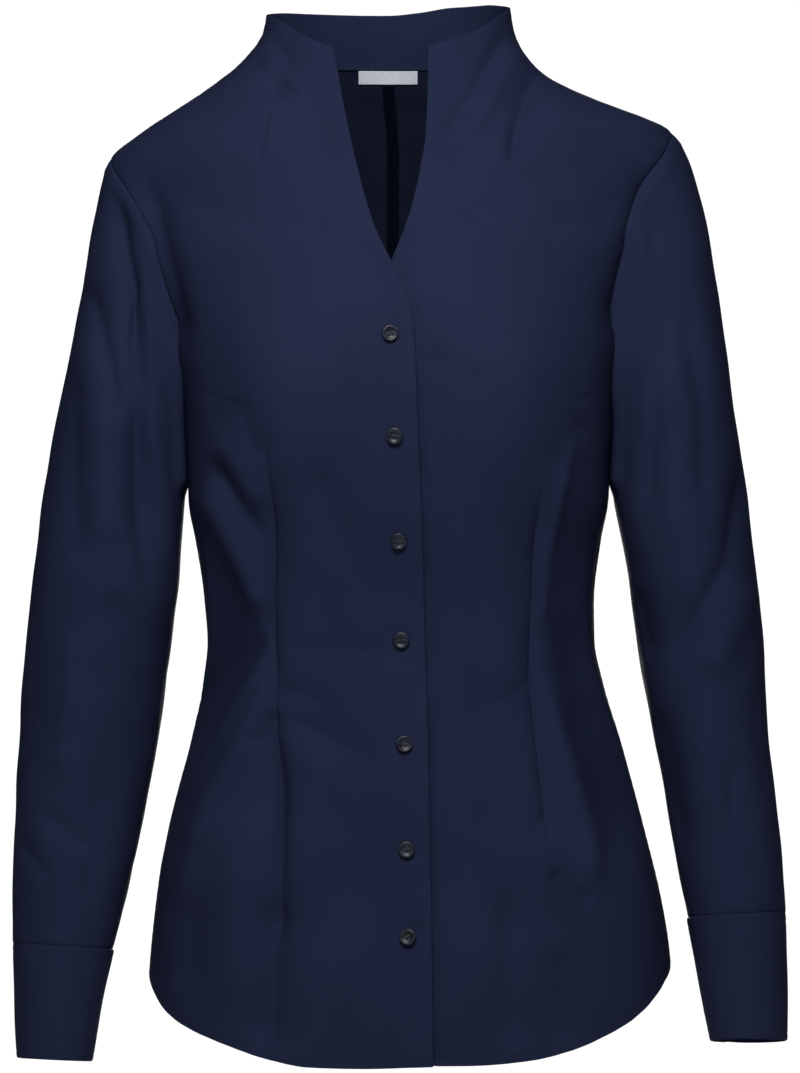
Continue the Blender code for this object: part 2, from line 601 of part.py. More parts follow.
def sleeve_rings(side, shoulder, table, rings):
    """Outer face of a sleeve: the armhole loop, then ovals down to the cuff."""
    loop, loop_out = armhole_loop(side, shoulder)
    top, low = loop[0], loop[len(loop) // 2]
    axis = (top - low) / 2
    centre = (top + low) / 2
    normal = unit(np.cross(axis, [0.0, 1.0, 0.0])) * -side
    cosine = (loop - centre) @ axis / (axis @ axis)
    sine_sign = np.where(np.arange(len(loop)) <= len(loop) // 2, 1.0, -1.0)
    turn = np.arccos(np.clip(cosine, -1, 1)) * sine_sign
    bulge = (loop - centre) @ normal
    at = np.linspace(0, len(table) - 1, rings)
    values = {name: ring_value(table, name, at)[:, None] for name in Ring._fields}
    grid = oval(turn=turn[None, :], **values)
    width_x = values["outer_x"] - values["inner_x"]
    width_z = values["outer_z"] - values["inner_z"]
    across = unit(np.stack([-width_z, 0 * width_x, width_x], -1)) * -side
    fade = ease(1 - at / 5.0)[:, None]
    loop_y = loop[:, 1]
    oval_y = grid[..., 1]
    grid[..., 1] = oval_y + (loop_y - oval_y) * fade
    grid = grid + across * (bulge * fade)[..., None]
    low_half = cosine < -0.2
    grid[:, low_half] = press_on_body(grid[:, low_half], side)
    return loop, loop_out, np.concatenate([loop[None], grid]), turn


def grid_normals(grid, side):
    """Outward directions over a tube's grid of rings."""
    round_it = np.roll(grid, -1, axis=1) - np.roll(grid, 1, axis=1)
    along = np.gradient(grid, axis=0)
    return unit(np.cross(round_it, along)) * side


def sleeve_shape(side, shoulder, table, rings):
    loop, loop_out, grid, turn = sleeve_rings(side, shoulder, table, rings)
    out = grid_normals(grid, side)
    share = (1 - np.cos(turn)) / 2
    heights = grid[..., 2]
    sag = trough(SLEEVE_FOLDS, share[None, :] * np.ones_like(heights), heights)
    sag = np.where(np.sin(turn)[None, :] > 0, sag, sag * 0.7)
    sag[0] = 0
    return grid - out * sag[..., None], out, loop_out


def make_sleeve(name, side, shoulder, table, rings):
    """A set-in sleeve. Its head starts a seam's gap away from the armhole's edge."""
    grid, out, loop_out = sleeve_shape(side, shoulder, table, rings)
    along = np.roll(grid[0], -1, axis=0) - np.roll(grid[0], 1, axis=0)
    into = unit(np.cross(along, loop_out))
    into = into * np.sign(((grid[0].mean(axis=0) - grid[0]) * into).sum())
    turned_back = np.clip(-2.5 * (out[0] * into).sum(axis=1), 0, 1)[:, None]
    out[0] = unit(loop_out + out[0] * turned_back)
    grid[0] = grid[0] + into * (SEAM_GAP + 0.05)
    return tube(name, grid, grid - out * WALL, "navy_cloth", NAVY)


def cuff_grid(table, columns, rows, lap):
    """Angles round the wrist, points of the cuff's outer face and outward directions."""
    turns = np.radians(np.linspace(CUFF_START, CUFF_START + 360 + lap, columns + 1))
    at = np.linspace(0, len(table) - 1, rows + 1)
    values = {name: ring_value(table, name, at)[:, None] for name in Ring._fields}
    points = oval(turn=turns[None, :], **values)
    ahead = oval(turn=turns[None, :] + 0.01, **values) - oval(turn=turns[None, :] - 0.01, **values)
    down = np.gradient(points, axis=0)
    out = unit(np.cross(ahead, down))
    outward = np.sign(((points - points.mean(axis=(0, 1))) * out).sum())
    return turns, points, out * outward


def make_cuff(name, table):
    """A cuff band that laps over its own end, where it buttons."""
    turns, points, out = cuff_grid(table, CUFF_COLUMNS, 3, CUFF_LAP)
    past = np.degrees(turns) - CUFF_START
    step = CUFF_WALL + 2 * SEAM_GAP
    inset = step * (1 - ease((past - CUFF_LAP - 4) / 40.0))
    outer = points + out * (0.4 - inset)[None, :, None]
    return wall(name, outer, outer - out * CUFF_WALL, "navy_cloth", NAVY)


def make_placket(name, table):
    """The strip that binds the sleeve's slit, on the back of the forearm above the cuff."""
    turn = math.radians(CUFF_START + 8)
    at = np.linspace(len(table) - 1 - 1.75, len(table) - 1 - 0.12, 7)
    values = {field: ring_value(table, field, at)[:, None] for field in Ring._fields}
    spread = PLACKET_WIDTH / 2 / values["depth"] * np.array([-1.0, -0.33, 0.33, 1.0])
    points = oval(turn=turn + spread, **values)
    ahead = oval(turn=turn + spread + 0.01, **values) - oval(turn=turn + spread - 0.01, **values)
    out = unit(np.cross(ahead, np.gradient(points, axis=0)))
    out = out * np.sign(out[..., 1].sum())
    inner = points + out * (SEAM_GAP + 0.6)
    return wall(name, inner + out * 1.0, inner, "navy_cloth", NAVY)


# ---- buttons -----------------------------------------------------------------------------------
def make_button(name, place, out):
    """A turned four-hole shirt button's form: domed back, rounded rim, dished face."""
    r, t = BUTTON_RADIUS, BUTTON_THICK
    profile = [(0.45 * r, 0.0), (0.9 * r, 0.12 * t), (r, 0.55 * t), (0.88 * r, t), (0.62 * r, 0.72 * t)]
    turns = np.linspace(0, 2 * math.pi, BUTTON_SIDES, endpoint=False)
    reference = np.array([1.0, 0.0, 0.0]) if abs(out[0]) < 0.9 else np.array([0.0, 0.0, 1.0])
    across = unit(np.cross(out, reference))
    up = np.cross(out, across)
    points, faces = [], []
    for radius, height in profile:
        for turn in turns:
            points.append(place + out * height + radius * (across * math.cos(turn) + up * math.sin(turn)))
    n = BUTTON_SIDES
    for ring in range(len(profile) - 1):
        for j in range(n):
            a, b = ring * n + j, ring * n + (j + 1) % n
            faces.append((a, b, b + n, a + n))
    faces.append(tuple(range(n - 1, -1, -1)))
    faces.append(tuple(range((len(profile) - 1) * n, len(profile) * n)))
    return add_object(name, points, faces, "button_horn", HORN)


def make_front_buttons():
    for number, height in enumerate(BUTTON_HEIGHTS, start=1):
        z = np.array([height])
        turn = turn_at_x(read(FRONT_EDGES, "upper", z) - BUTTON_INSET, z)
        place, out = body(turn, z)[0], body_normal(turn, z)[0]
        make_button(f"button_front_{number}", place + out * (SEAM_GAP + 0.3), out)


def make_cuff_buttons(name, table):
    turn = math.radians(CUFF_BUTTON_TURN)
    for number, share in enumerate(CUFF_BUTTON_SHARES, start=1):
        at = np.array([share * (len(table) - 1)])
        values = {field: ring_value(table, field, at)[:, None] for field in Ring._fields}
        place = oval(turn=np.array([[turn]]), **values)[0, 0]
        ahead = oval(turn=np.array([[turn + 0.01]]), **values)[0, 0] - place
        down = {field: ring_value(table, field, at + 0.01)[:, None] for field in Ring._fields}
        below = oval(turn=np.array([[turn]]), **down)[0, 0] - place
        out = unit(np.cross(ahead, below))
        out = out * np.sign(out[1])
        make_button(f"{name}_{number}", place + out * (0.4 + SEAM_GAP + 0.3), out)


def main():
    for old in list(bpy.data.objects):
        bpy.data.objects.remove(old)
    make_front_right()
    make_front_left()
    make_back("back_right", -1, RIGHT_SHOULDER)
    make_back("back_left", 1, LEFT_SHOULDER)
    make_collar_back()
    make_collar_facing()
    make_seam_strip()
    make_label()
    make_sleeve("sleeve_right", -1, RIGHT_SHOULDER, RIGHT_SLEEVE, RIGHT_SLEEVE_RINGS)
    make_sleeve("sleeve_left", 1, LEFT_SHOULDER, LEFT_SLEEVE, LEFT_SLEEVE_RINGS)
    make_cuff("cuff_right", RIGHT_CUFF)
    make_cuff("cuff_left", LEFT_CUFF)
    make_placket("sleeve_placket_right", RIGHT_SLEEVE)
    make_placket("sleeve_placket_left", LEFT_SLEEVE)
    make_front_buttons()
    make_cuff_buttons("button_cuff_right", RIGHT_CUFF)
    make_cuff_buttons("button_cuff_left", LEFT_CUFF)


main()
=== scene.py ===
"""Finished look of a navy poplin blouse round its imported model: cloth, sewing, buttons and label.

Every cut piece is worked out from the same tables as its solid, in millimetres: height is up from
the base of the neck, x runs to the wearer's left, and the front faces -y. A piece is a thin shell
with rounded edges; its darts, drawn folds, seams and hem are moved into that surface.
"""

import math
from collections import namedtuple

import bpy
import numpy as np
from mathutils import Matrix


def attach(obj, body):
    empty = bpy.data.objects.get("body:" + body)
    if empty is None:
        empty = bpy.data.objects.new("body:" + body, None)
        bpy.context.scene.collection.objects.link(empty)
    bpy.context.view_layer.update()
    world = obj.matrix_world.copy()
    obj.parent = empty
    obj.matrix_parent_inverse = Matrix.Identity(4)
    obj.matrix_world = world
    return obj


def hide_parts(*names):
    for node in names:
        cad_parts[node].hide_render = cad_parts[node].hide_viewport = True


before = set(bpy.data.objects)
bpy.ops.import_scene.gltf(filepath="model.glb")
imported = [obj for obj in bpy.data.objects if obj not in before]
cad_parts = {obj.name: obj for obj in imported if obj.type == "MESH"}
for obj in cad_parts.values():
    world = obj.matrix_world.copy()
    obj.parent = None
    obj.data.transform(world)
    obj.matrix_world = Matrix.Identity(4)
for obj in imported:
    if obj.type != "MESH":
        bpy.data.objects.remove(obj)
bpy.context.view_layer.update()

MM = 0.001

# ---- cloth and sewing, in millimetres ----------------------------------------------------------
SINGLE = 0.6  # one layer of poplin with its nap
DOUBLED = 1.1  # folded edge or turned hem
FOLDED_EDGE = 9.0  # width of the doubled cloth along a front's own edge
SEAM_GAP = 0.3
EDGE_BULGE = 0.19  # how far a rounded edge swells past the cut line
LAP_STEP = 2.0  # under front below the upper one
LAP_RELEASE = 26.0  # width over which the under front comes back out beside the lap
LAP_TOP = -100.0  # above this the two fronts' edges have parted
LAP_PROUD = 0.9  # how far the upper front's edge stands out
LAP_GROOVE = 4.0  # how far the under front sinks right beside that edge
HEM_TURN = 6.0  # height of the turned hem
HEM_STITCH = 5.0  # the stitching above the hem's edge
STITCH_PITCH = 2.7
STITCH_LENGTH = 2.1
STITCH_SINK = 0.05
THREAD = 0.17  # radius of sewing thread

HIP_ROW = -590.0  # lowest level row; below it the rows follow the hem
NECK_ROW = -28.0  # highest level row; above it the rows follow the collar's top edge
NECK_SEAM = 0.4  # between the backs and the collar

# ---- sections of the filled-out body -----------------------------------------------------------
Section = namedtuple("Section", "height left right middle front back square_front square_back")
BODY = [
    Section(-700, -175, 190, 7, -119, 124, 2.3, 2.2),
    Section(-617, -171, 185, 7, -118, 122, 2.3, 2.2),
    Section(-575, -167, 179, 6, -115, 120, 2.3, 2.2),
    Section(-521, -156, 166, 4, -109, 116, 2.3, 2.2),
    Section(-466, -143, 151, 3, -102, 107, 2.4, 2.2),
    Section(-425, -134.5, 139, 2, -98, 98, 2.5, 2.3),
    Section(-397, -131.5, 133.5, 1, -97, 94, 2.6, 2.3),
    Section(-370, -133.5, 133, 0, -99, 95, 2.6, 2.3),
    Section(-329, -139.7, 137.7, -1, -108, 98, 2.5, 2.3),
    Section(-301, -143.9, 142.5, -2, -115, 101, 2.4, 2.3),
    Section(-245, -146.5, 145, -3, -122, 107, 2.4, 2.4),
    Section(-219, -151, 148, -3, -122, 110, 2.4, 2.4),
    Section(-176, -170, 159, -4, -117, 113, 2.3, 2.3),
    Section(-148, -186, 171, -4, -110, 113, 2.2, 2.2),
    Section(-126, -198, 182, -5, -103, 111, 2.2, 2.2),
    Section(-100, -205, 190, -5, -95, 107, 2.2, 2.2),
    Section(-79, -203, 193, -5, -88.5, 101.5, 2.1, 2.1),
    Section(-65, -196.3, 192.5, -5, -84.5, 97.5, 2.05, 2.0),
    Section(-54.7, -184.0, 188.5, -5, -81, 94, 2.0, 2.0),
    Section(-48, -174.4, 184.5, -5.5, -79, 91.5, 2.0, 2.0),
    Section(-44.5, -169.4, 179.0, -6, -78, 90, 2.0, 2.0),
    Section(-41.1, -164.0, 170.8, -6, -77, 89, 2.0, 2.0),
    Section(-27.3, -143.0, 135, -7, -72.5, 84, 2.0, 2.0),
    Section(-13.6, -123.4, 104.8, -8, -68, 78, 2.0, 2.0),
    Section(-5.4, -112.9, 93.6, -8, -65.8, 75.6, 2.0, 2.0),
    Section(2.8, -104.8, 86.2, -8, -63.8, 73.4, 2.0, 2.0),
    Section(11.0, -98.2, 81.6, -8, -62, 71.4, 2.0, 2.0),
    Section(19.2, -94.0, 78.4, -8, -60.7, 70, 2.0, 2.0),
    Section(31.6, -91.7, 76.2, -8, -59.5, 68.6, 2.0, 2.0),
    Section(44, -90.5, 75, -8, -59, 68, 2.0, 2.0),
]
Edge = namedtuple("Edge", "height upper under")
FRONT_EDGES = [
    Edge(-700, 22.0, -9.0),
    Edge(-591, 20.8, -10.2),
    Edge(-464, 18.5, -12.2),
    Edge(-395, 16.4, -14.2),
    Edge(-329, 14.8, -16.2),
    Edge(-260, 12.0, -17.0),
    Edge(-210, 10.0, -20.5),
    Edge(-186, 8.8, -21.0),
    Edge(-165, 4.0, -15.5),
    Edge(-142, -6.6, -6.0),
    Edge(-121, -16.5, 3.0),
    Edge(-100, -23.2, 9.5),
    Edge(-77, -29.0, 14.2),
    Edge(-58, -33.5, 17.2),
    Edge(-35, -38.2, 18.4),
    Edge(-14, -41.8, 19.0),
    Edge(10, -47.0, 19.4),
]
Rise = namedtuple("Rise", "share height")
RIGHT_HEM = [
    Rise(0.0, -676.5), Rise(0.12, -678.0), Rise(0.234, -677.5), Rise(0.34, -672.8),
    Rise(0.458, -665.0), Rise(0.612, -655.0), Rise(0.718, -647.0), Rise(0.79, -639.7),
    Rise(0.877, -631.0), Rise(1.0, -619.5),
]  # fmt: skip
LEFT_HEM = [
    Rise(0.0, -676.5), Rise(0.15, -676.0), Rise(0.28, -673.4), Rise(0.39, -667.6),
    Rise(0.524, -657.0), Rise(0.61, -649.2), Rise(0.71, -638.4), Rise(0.79, -629.8),
    Rise(0.90, -620.0), Rise(1.0, -613.0),
]  # fmt: skip
BACK_HEM = [
    Rise(0.0, -690.0), Rise(0.25, -688.0), Rise(0.45, -675.0), Rise(0.62, -658.0),
    Rise(0.78, -642.0), Rise(0.90, -629.0), Rise(1.0, -616.0),
]  # fmt: skip
COLLAR_RIGHT_TOP = [
    Rise(0.0, 3.6), Rise(0.24, 13.5), Rise(0.45, 22.0), Rise(0.70, 28.0), Rise(1.0, 30.5),
]  # fmt: skip
COLLAR_LEFT_TOP = [
    Rise(0.0, 4.2), Rise(0.19, 10.5), Rise(0.41, 18.5), Rise(0.63, 28.0), Rise(0.82, 33.5),
    Rise(1.0, 36.0),
]  # fmt: skip
COLLAR_BACK_TOP = [
    Rise(0.0, 30.5), Rise(0.07, 33.2), Rise(0.2, 36.5), Rise(0.35, 37.5), Rise(0.5, 37.8),
    Rise(0.58, 39.5), Rise(0.68, 42.2), Rise(0.8, 42.0), Rise(0.9, 39.5), Rise(1.0, 36.0),
]  # fmt: skip
Armhole = namedtuple("Armhole", "share front back")
ARMHOLE = [
    Armhole(0.0, 0, 0), Armhole(0.02, 15, 14), Armhole(0.06, 26, 25), Armhole(0.13, 37, 36),
    Armhole(0.25, 46, 46), Armhole(0.39, 51.5, 53), Armhole(0.52, 55, 57), Armhole(0.64, 58, 58),
    Armhole(0.72, 55, 56), Armhole(0.81, 48, 51), Armhole(0.90, 34, 38), Armhole(0.96, 19, 22),
    Armhole(1.0, 0, 0),
]  # fmt: skip
Shoulder = namedtuple("Shoulder", "underarm point")
RIGHT_SHOULDER = Shoulder(-242.0, -65.0)
LEFT_SHOULDER = Shoulder(-247.0, -48.5)

Ring = namedtuple("Ring", "outer_x outer_z inner_x inner_z middle depth tilt")
RIGHT_SLEEVE = [
    Ring(-200.2, -73, -147.0, -244.5, 1, 55, 0),
    Ring(-204.5, -89, -147.0, -248, 1, 55.5, 0),
    Ring(-209.2, -111, -147.0, -252, 1, 55.5, 0),
    Ring(-216.5, -148, -146.5, -260, 0, 55.5, 0),
    Ring(-225.0, -192, -146.0, -271, -1, 55.5, 0),
    Ring(-234.0, -242, -146.0, -286, -1, 55, 0),
    Ring(-243.5, -296, -147.4, -303, -1, 54, 0),
    Ring(-251.0, -348, -151.4, -352, 1, 52, 0.0),
    Ring(-256.5, -400, -157.0, -404, 3, 49.5, 0.01),
    Ring(-260.3, -450, -164.5, -457, 2, 47.5, 0.03),
    Ring(-262.8, -503, -174.5, -511, -4, 45, 0.05),
    Ring(-263.4, -555, -184.8, -563, -13, 41.5, 0.08),
    Ring(-263.3, -603, -195.6, -607, -21, 38, 0.1),
]
LEFT_SLEEVE = [
    Ring(191.4, -56, 146.0, -249.5, 1, 55, 0),
    Ring(199.0, -71, 146.0, -252, 1, 56, 0),
    Ring(206.2, -95, 146.0, -256, 1, 57, 0),
    Ring(214.8, -145, 145.5, -263, 0, 58, 0),
    Ring(221.6, -188, 145.0, -273, -1, 58, 0),
    Ring(228.8, -236, 144.6, -286, -1, 58, 0),
    Ring(237.0, -292, 146.4, -302, -1, 57, 0),
    Ring(243.4, -346, 156.4, -352, 1, 55, 0.0),
    Ring(248.2, -398, 163.4, -402, 3, 52, 0.01),
    Ring(252.4, -448, 171.6, -452, 2, 49, 0.03),
    Ring(256.5, -500, 181.4, -504, -3, 45.5, 0.06),
    Ring(260.4, -548, 190.6, -552, -10, 41.5, 0.1),
    Ring(262.4, -583, 196.4, -586, -16, 38, 0.12),
]
SLEEVE_CLEAR = 0.3  # between the sleeve and the body it leans on
PARTING = -300.0  # height at which sleeve and body part
LOWEST_PRESS = -330.0  # below this the sleeve hangs free
ARM_RADIUS = 55.0  # turns an angle round the sleeve into millimetres
WRIST_RADIUS = 38.0
CUFF_WALL = 1.8
CUFF_LAP = 30.0  # degrees of the cuff that lie over its other end
CUFF_START = 205.0  # where the under end begins, degrees round the wrist from the outer line
CUFF_STITCH = 5.0  # the stitching inside a cuff's free edges
RIGHT_CUFF = [
    Ring(-263.0, -603.4, -195.4, -607.4, -21, 38.6, 0.1),
    Ring(-261.6, -643, -203.6, -646, -26, 36.8, 0.1),
    Ring(-259.8, -679.5, -209.0, -682, -30, 35.4, 0.1),
]
LEFT_CUFF = [
    Ring(262.4, -583.4, 196.2, -586.4, -16, 38.6, 0.12),
    Ring(263.2, -628, 204.0, -630, -21, 36.8, 0.13),
    Ring(263.0, -668.5, 211.0, -668.5, -26, 35.4, 0.14),
]

# ---- creases -----------------------------------------------------------------------------------
# A crease follows a line of (x, height) places. depth is how far it goes in, below zero for a
# ridge; width is how fast it fades sideways, and soft the radius of its foot: small for a sewn or
# pressed line, large for a rolling fold.
Crease = namedtuple("Crease", "depth width soft line")
FRONT_CREASES = [
    # right waist dart: the sewn line, and the cloth drawn in beside it
    Crease(2.8, 1.9, 0.5, [(-87, -248), (-86, -302), (-85, -342), (-86, -396), (-84, -425),
                           (-84, -452), (-83, -515), (-82, -584)]),
    Crease(4.4, 8.0, 6.0, [(-87, -262), (-85, -342), (-86, -396), (-84, -452), (-83, -560)]),
    Crease(5.4, 4.4, 3.0, [(-83, -452), (-80, -500), (-80, -560), (-82, -606)]),
    # ridges that run into the dart at the waist and out of it again
    Crease(-3.0, 6.5, 6.0, [(-122, -256), (-104, -284), (-90, -310)]),
    Crease(4.2, 4.6, 4.0, [(-129, -270), (-109, -302), (-90, -333)]),
    Crease(-6.5, 7.0, 6.0, [(-134, -286), (-118, -318), (-102, -350), (-87, -384)]),
    Crease(-8.6, 8.0, 7.0, [(-86, -404), (-92, -440), (-105, -468), (-122, -498), (-138, -540),
                            (-150, -585)]),
    Crease(2.4, 3.0, 2.2, [(-102, -466), (-91, -460), (-82, -442)]),
    Crease(1.8, 4.0, 3.4, [(-86, -426), (-67, -431), (-48, -439)]),
    Crease(2.2, 5.0, 4.0, [(-83, -399), (-47, -401), (-3, -403)]),
    Crease(3.4, 6.0, 5.0, [(-78, -444), (-47, -461), (-12, -478)]),
    Crease(-2.4, 8.0, 8.0, [(-72, -470), (-42, -490), (-18, -508)]),
    Crease(2.8, 9.0, 9.0, [(-63, -270), (-36, -329), (-8, -385)]),
    Crease(7.4, 8.0, 7.0, [(-84, -560), (-86, -608), (-88, -674)]),
    Crease(-3.4, 10.0, 9.0, [(-112, -500), (-112, -570), (-112, -650)]),
    Crease(3.6, 9.0, 8.0, [(-138, -520), (-142, -580), (-142, -640)]),
    # left waist dart
    Crease(2.3, 1.8, 0.5, [(94, -280), (91, -342), (90, -377), (89, -418), (91, -450), (96, -493),
                           (99, -520), (101, -550)]),
    Crease(3.6, 6.0, 4.5, [(93, -290), (90, -342), (88, -418), (95, -493), (101, -545)]),
    Crease(-4.0, 4.2, 4.0, [(118, -248), (107, -288), (98, -346), (94, -400)]),
    Crease(-6.4, 6.0, 6.0, [(94, -412), (108, -466), (126, -523), (132, -572)]),
    Crease(3.8, 3.2, 2.4, [(99, -547), (113, -558), (131, -571)]),
    Crease(2.0, 3.2, 2.4, [(92, -508), (104, -516), (117, -525)]),
    Crease(3.4, 12.0, 10.0, [(128, -300), (118, -370), (120, -430), (134, -476)]),
    Crease(1.8, 8.0, 7.0, [(44, -512), (74, -520), (100, -528)]),
    Crease(1.8, 4.6, 3.8, [(44, -440), (72, -435), (94, -418)]),
    Crease(4.2, 7.0, 6.0, [(72, -556), (72, -672)]),
    Crease(2.6, 8.0, 7.0, [(108, -596), (106, -668)]),
    # short darts from the sides to the bust
    Crease(0.45, 1.8, 0.8, [(101, -237), (117, -234), (140, -230)]),
    Crease(0.45, 1.8, 0.8, [(-140, -225), (-119, -233), (-101, -238)]),
    Crease(2.6, 7.0, 6.0, [(-110, -232), (-100, -250), (-91, -280)]),
    Crease(2.2, 7.0, 6.0, [(126, -246), (112, -262), (106, -290)]),
    # neck darts and the folds that leave the funnel collar
    Crease(1.8, 1.6, 0.5, [(-87, -33), (-91, -54), (-95, -78)]),
    Crease(2.2, 3.6, 3.0, [(-102, 4), (-96, -8), (-87, -21), (-81, -32)]),
    Crease(1.8, 3.6, 3.0, [(-90, 16), (-82, 4), (-74, -8), (-67, -20)]),
    Crease(5.4, 8.0, 6.0, [(-96, -14), (-76, -24), (-58, -44), (-43, -78)]),
    Crease(-2.6, 5.0, 5.0, [(-78, -6), (-70, -28), (-62, -56)]),
    Crease(6.2, 4.5, 3.0, [(96, -4), (89, -22), (80, -46), (74, -80)]),
    Crease(4.6, 4.6, 3.6, [(76, 20), (62, -4), (47, -32), (26, -64)]),
    Crease(-3.2, 5.0, 5.0, [(84, 10), (66, -22), (46, -64)]),
    Crease(3.6, 8.0, 6.0, [(94, -16), (66, -40), (44, -70), (30, -96)]),
    Crease(2.8, 5.0, 4.0, [(14, -205), (34, -212), (58, -228)]),
    # edge of the upper front: puckers between the lowest buttonholes
    Crease(1.5, 2.0, 1.5, [(9, -554), (17, -557)]),
    Crease(1.7, 2.0, 1.5, [(9, -570), (17, -573)]),
    Crease(1.5, 2.0, 1.5, [(9, -583), (17, -587)]),
    Crease(1.3, 2.6, 2.0, [(-5, -545), (-5, -585)]),
    # hollows beside the armholes and the pull across the chest
    Crease(9.0, 9.0, 7.0, [(-177, -70), (-169, -104), (-162, -138), (-154, -174), (-148, -210)]),
    Crease(8.0, 9.0, 7.0, [(172, -68), (164, -108), (156, -147), (147, -200)]),
    Crease(2.4, 9.0, 8.0, [(-169, -79), (-134, -104), (-87, -119)]),
    Crease(2.2, 9.0, 8.0, [(160, -92), (128, -112), (84, -122)]),
]  # fmt: skip
BACK_CREASES = [
    # waist darts, one each side of the centre-back seam
    Crease(1.7, 1.9, 0.5, [(-72, -270), (-67, -340), (-66, -398), (-69, -460), (-75, -540)]),
    Crease(2.2, 8.0, 6.0, [(-72, -280), (-66, -398), (-74, -530)]),
    Crease(1.7, 1.9, 0.5, [(72, -268), (67, -340), (66, -398), (69, -460), (75, -542)]),
    Crease(2.2, 8.0, 6.0, [(72, -280), (66, -398), (74, -530)]),
    # folds drawn across the small of the back
    Crease(2.4, 5.0, 4.0, [(-112, -352), (-90, -372), (-68, -384)]),
    Crease(2.6, 5.5, 4.5, [(-118, -392), (-92, -404), (-67, -408)]),
    Crease(-2.8, 7.0, 7.0, [(-64, -410), (-84, -446), (-112, -490)]),
    Crease(2.2, 5.0, 4.0, [(116, -358), (92, -376), (68, -388)]),
    Crease(2.8, 5.5, 4.5, [(116, -398), (90, -409), (67, -412)]),
    Crease(-2.8, 7.0, 7.0, [(64, -414), (86, -450), (110, -492)]),
    Crease(1.6, 6.0, 5.0, [(-60, -386), (-30, -396), (-4, -398)]),
    Crease(1.6, 6.0, 5.0, [(60, -380), (32, -391), (6, -394)]),
    Crease(1.3, 7.0, 6.0, [(-58, -358), (-30, -366), (-8, -366)]),
    Crease(1.2, 7.0, 6.0, [(54, -418), (30, -424), (8, -424)]),
    # hollows beside the armholes, and the fullness over the shoulder blades
    Crease(3.4, 8.0, 7.0, [(-172, -92), (-160, -130), (-151, -170), (-142, -214)]),
    Crease(3.4, 8.0, 7.0, [(168, -88), (156, -128), (148, -168), (140, -212)]),
    Crease(-2.2, 16.0, 14.0, [(-84, -96), (-88, -150), (-82, -206)]),
    Crease(-2.2, 16.0, 14.0, [(80, -92), (84, -148), (78, -204)]),
    Crease(1.4, 8.0, 7.0, [(-128, -112), (-86, -134), (-42, -140)]),
    Crease(1.4, 8.0, 7.0, [(124, -110), (82, -130), (40, -138)]),
    # flutes of the tail
    Crease(2.4, 9.0, 8.0, [(-74, -560), (-80, -684)]),
    Crease(2.4, 9.0, 8.0, [(74, -560), (82, -684)]),
    Crease(-1.8, 11.0, 10.0, [(-118, -560), (-124, -640)]),
    Crease(-1.8, 11.0, 10.0, [(118, -560), (126, -640)]),
]  # fmt: skip
RIGHT_SLEEVE_CREASES = [
    Crease(7.6, 5.0, 4.0, [(-196, -84), (-186, -136), (-173, -188), (-160, -252)]),
    Crease(5.4, 6.0, 5.0, [(-215, -146), (-202, -196), (-188, -252)]),
    Crease(3.8, 6.5, 5.5, [(-223, -200), (-222, -270), (-217, -350)]),
    Crease(4.6, 6.0, 5.0, [(-178, -226), (-175, -300), (-169, -372)]),
    Crease(8.0, 12.0, 10.0, [(-172, -140), (-168, -220), (-166, -345)]),
    Crease(-3.4, 8.0, 7.0, [(-201, -235), (-200, -290), (-196, -340)]),
    Crease(2.8, 5.0, 4.5, [(-198, -360), (-181, -400), (-165, -440)]),
    Crease(2.4, 5.5, 5.0, [(-210, -404), (-188, -438), (-168, -478)]),
    Crease(3.2, 4.0, 3.0, [(-242, -510), (-226, -525), (-209, -539)]),
    Crease(2.8, 4.0, 3.0, [(-260, -530), (-248, -545), (-233, -560)]),
    Crease(-4.2, 9.0, 9.0, [(-218, -380), (-224, -440), (-228, -500)]),
    Crease(3.2, 7.0, 6.0, [(-196, -450), (-204, -510), (-212, -590)]),
]
LEFT_SLEEVE_CREASES = [
    Crease(5.6, 5.0, 4.0, [(172, -104), (160, -157), (155, -220)]),
    Crease(3.4, 4.5, 3.5, [(157, -360), (163, -386), (170, -410)]),
    Crease(5.4, 6.0, 5.0, [(241, -258), (234, -296), (223, -343), (199, -381), (181, -424)]),
    Crease(-4.4, 8.0, 8.0, [(236, -350), (224, -388), (206, -424)]),
    Crease(4.4, 7.0, 6.0, [(193, -165), (205, -240), (207, -320)]),
    Crease(5.0, 11.0, 9.0, [(170, -150), (164, -230), (166, -335)]),
    Crease(-3.0, 8.0, 7.0, [(178, -200), (184, -270), (186, -340)]),
    Crease(3.2, 6.0, 5.0, [(172, -436), (184, -480), (194, -548)]),
    Crease(3.2, 6.0, 5.0, [(226, -464), (224, -525), (232, -578)]),
]
SLEEVE_BACK_CREASES = [  # x is taken from the wearer's middle outwards, on either arm
    Crease(2.6, 5.0, 4.0, [(188, -104), (178, -150), (166, -200)]),
    Crease(2.2, 5.0, 4.0, [(214, -176), (200, -214), (182, -250)]),
    Crease(2.4, 4.5, 3.5, [(240, -356), (220, -372), (192, -378)]),
    Crease(2.0, 4.0, 3.0, [(244, -394), (222, -402), (196, -400)]),
    Crease(1.8, 4.5, 3.5, [(240, -420), (220, -434), (198, -442)]),
    Crease(-2.4, 9.0, 9.0, [(214, -290), (216, -340), (214, -380)]),
    Crease(1.7, 5.0, 4.0, [(206, -540), (212, -572), (216, -606)]),
    Crease(1.7, 5.0, 4.0, [(226, -546), (230, -572), (232, -606)]),
]
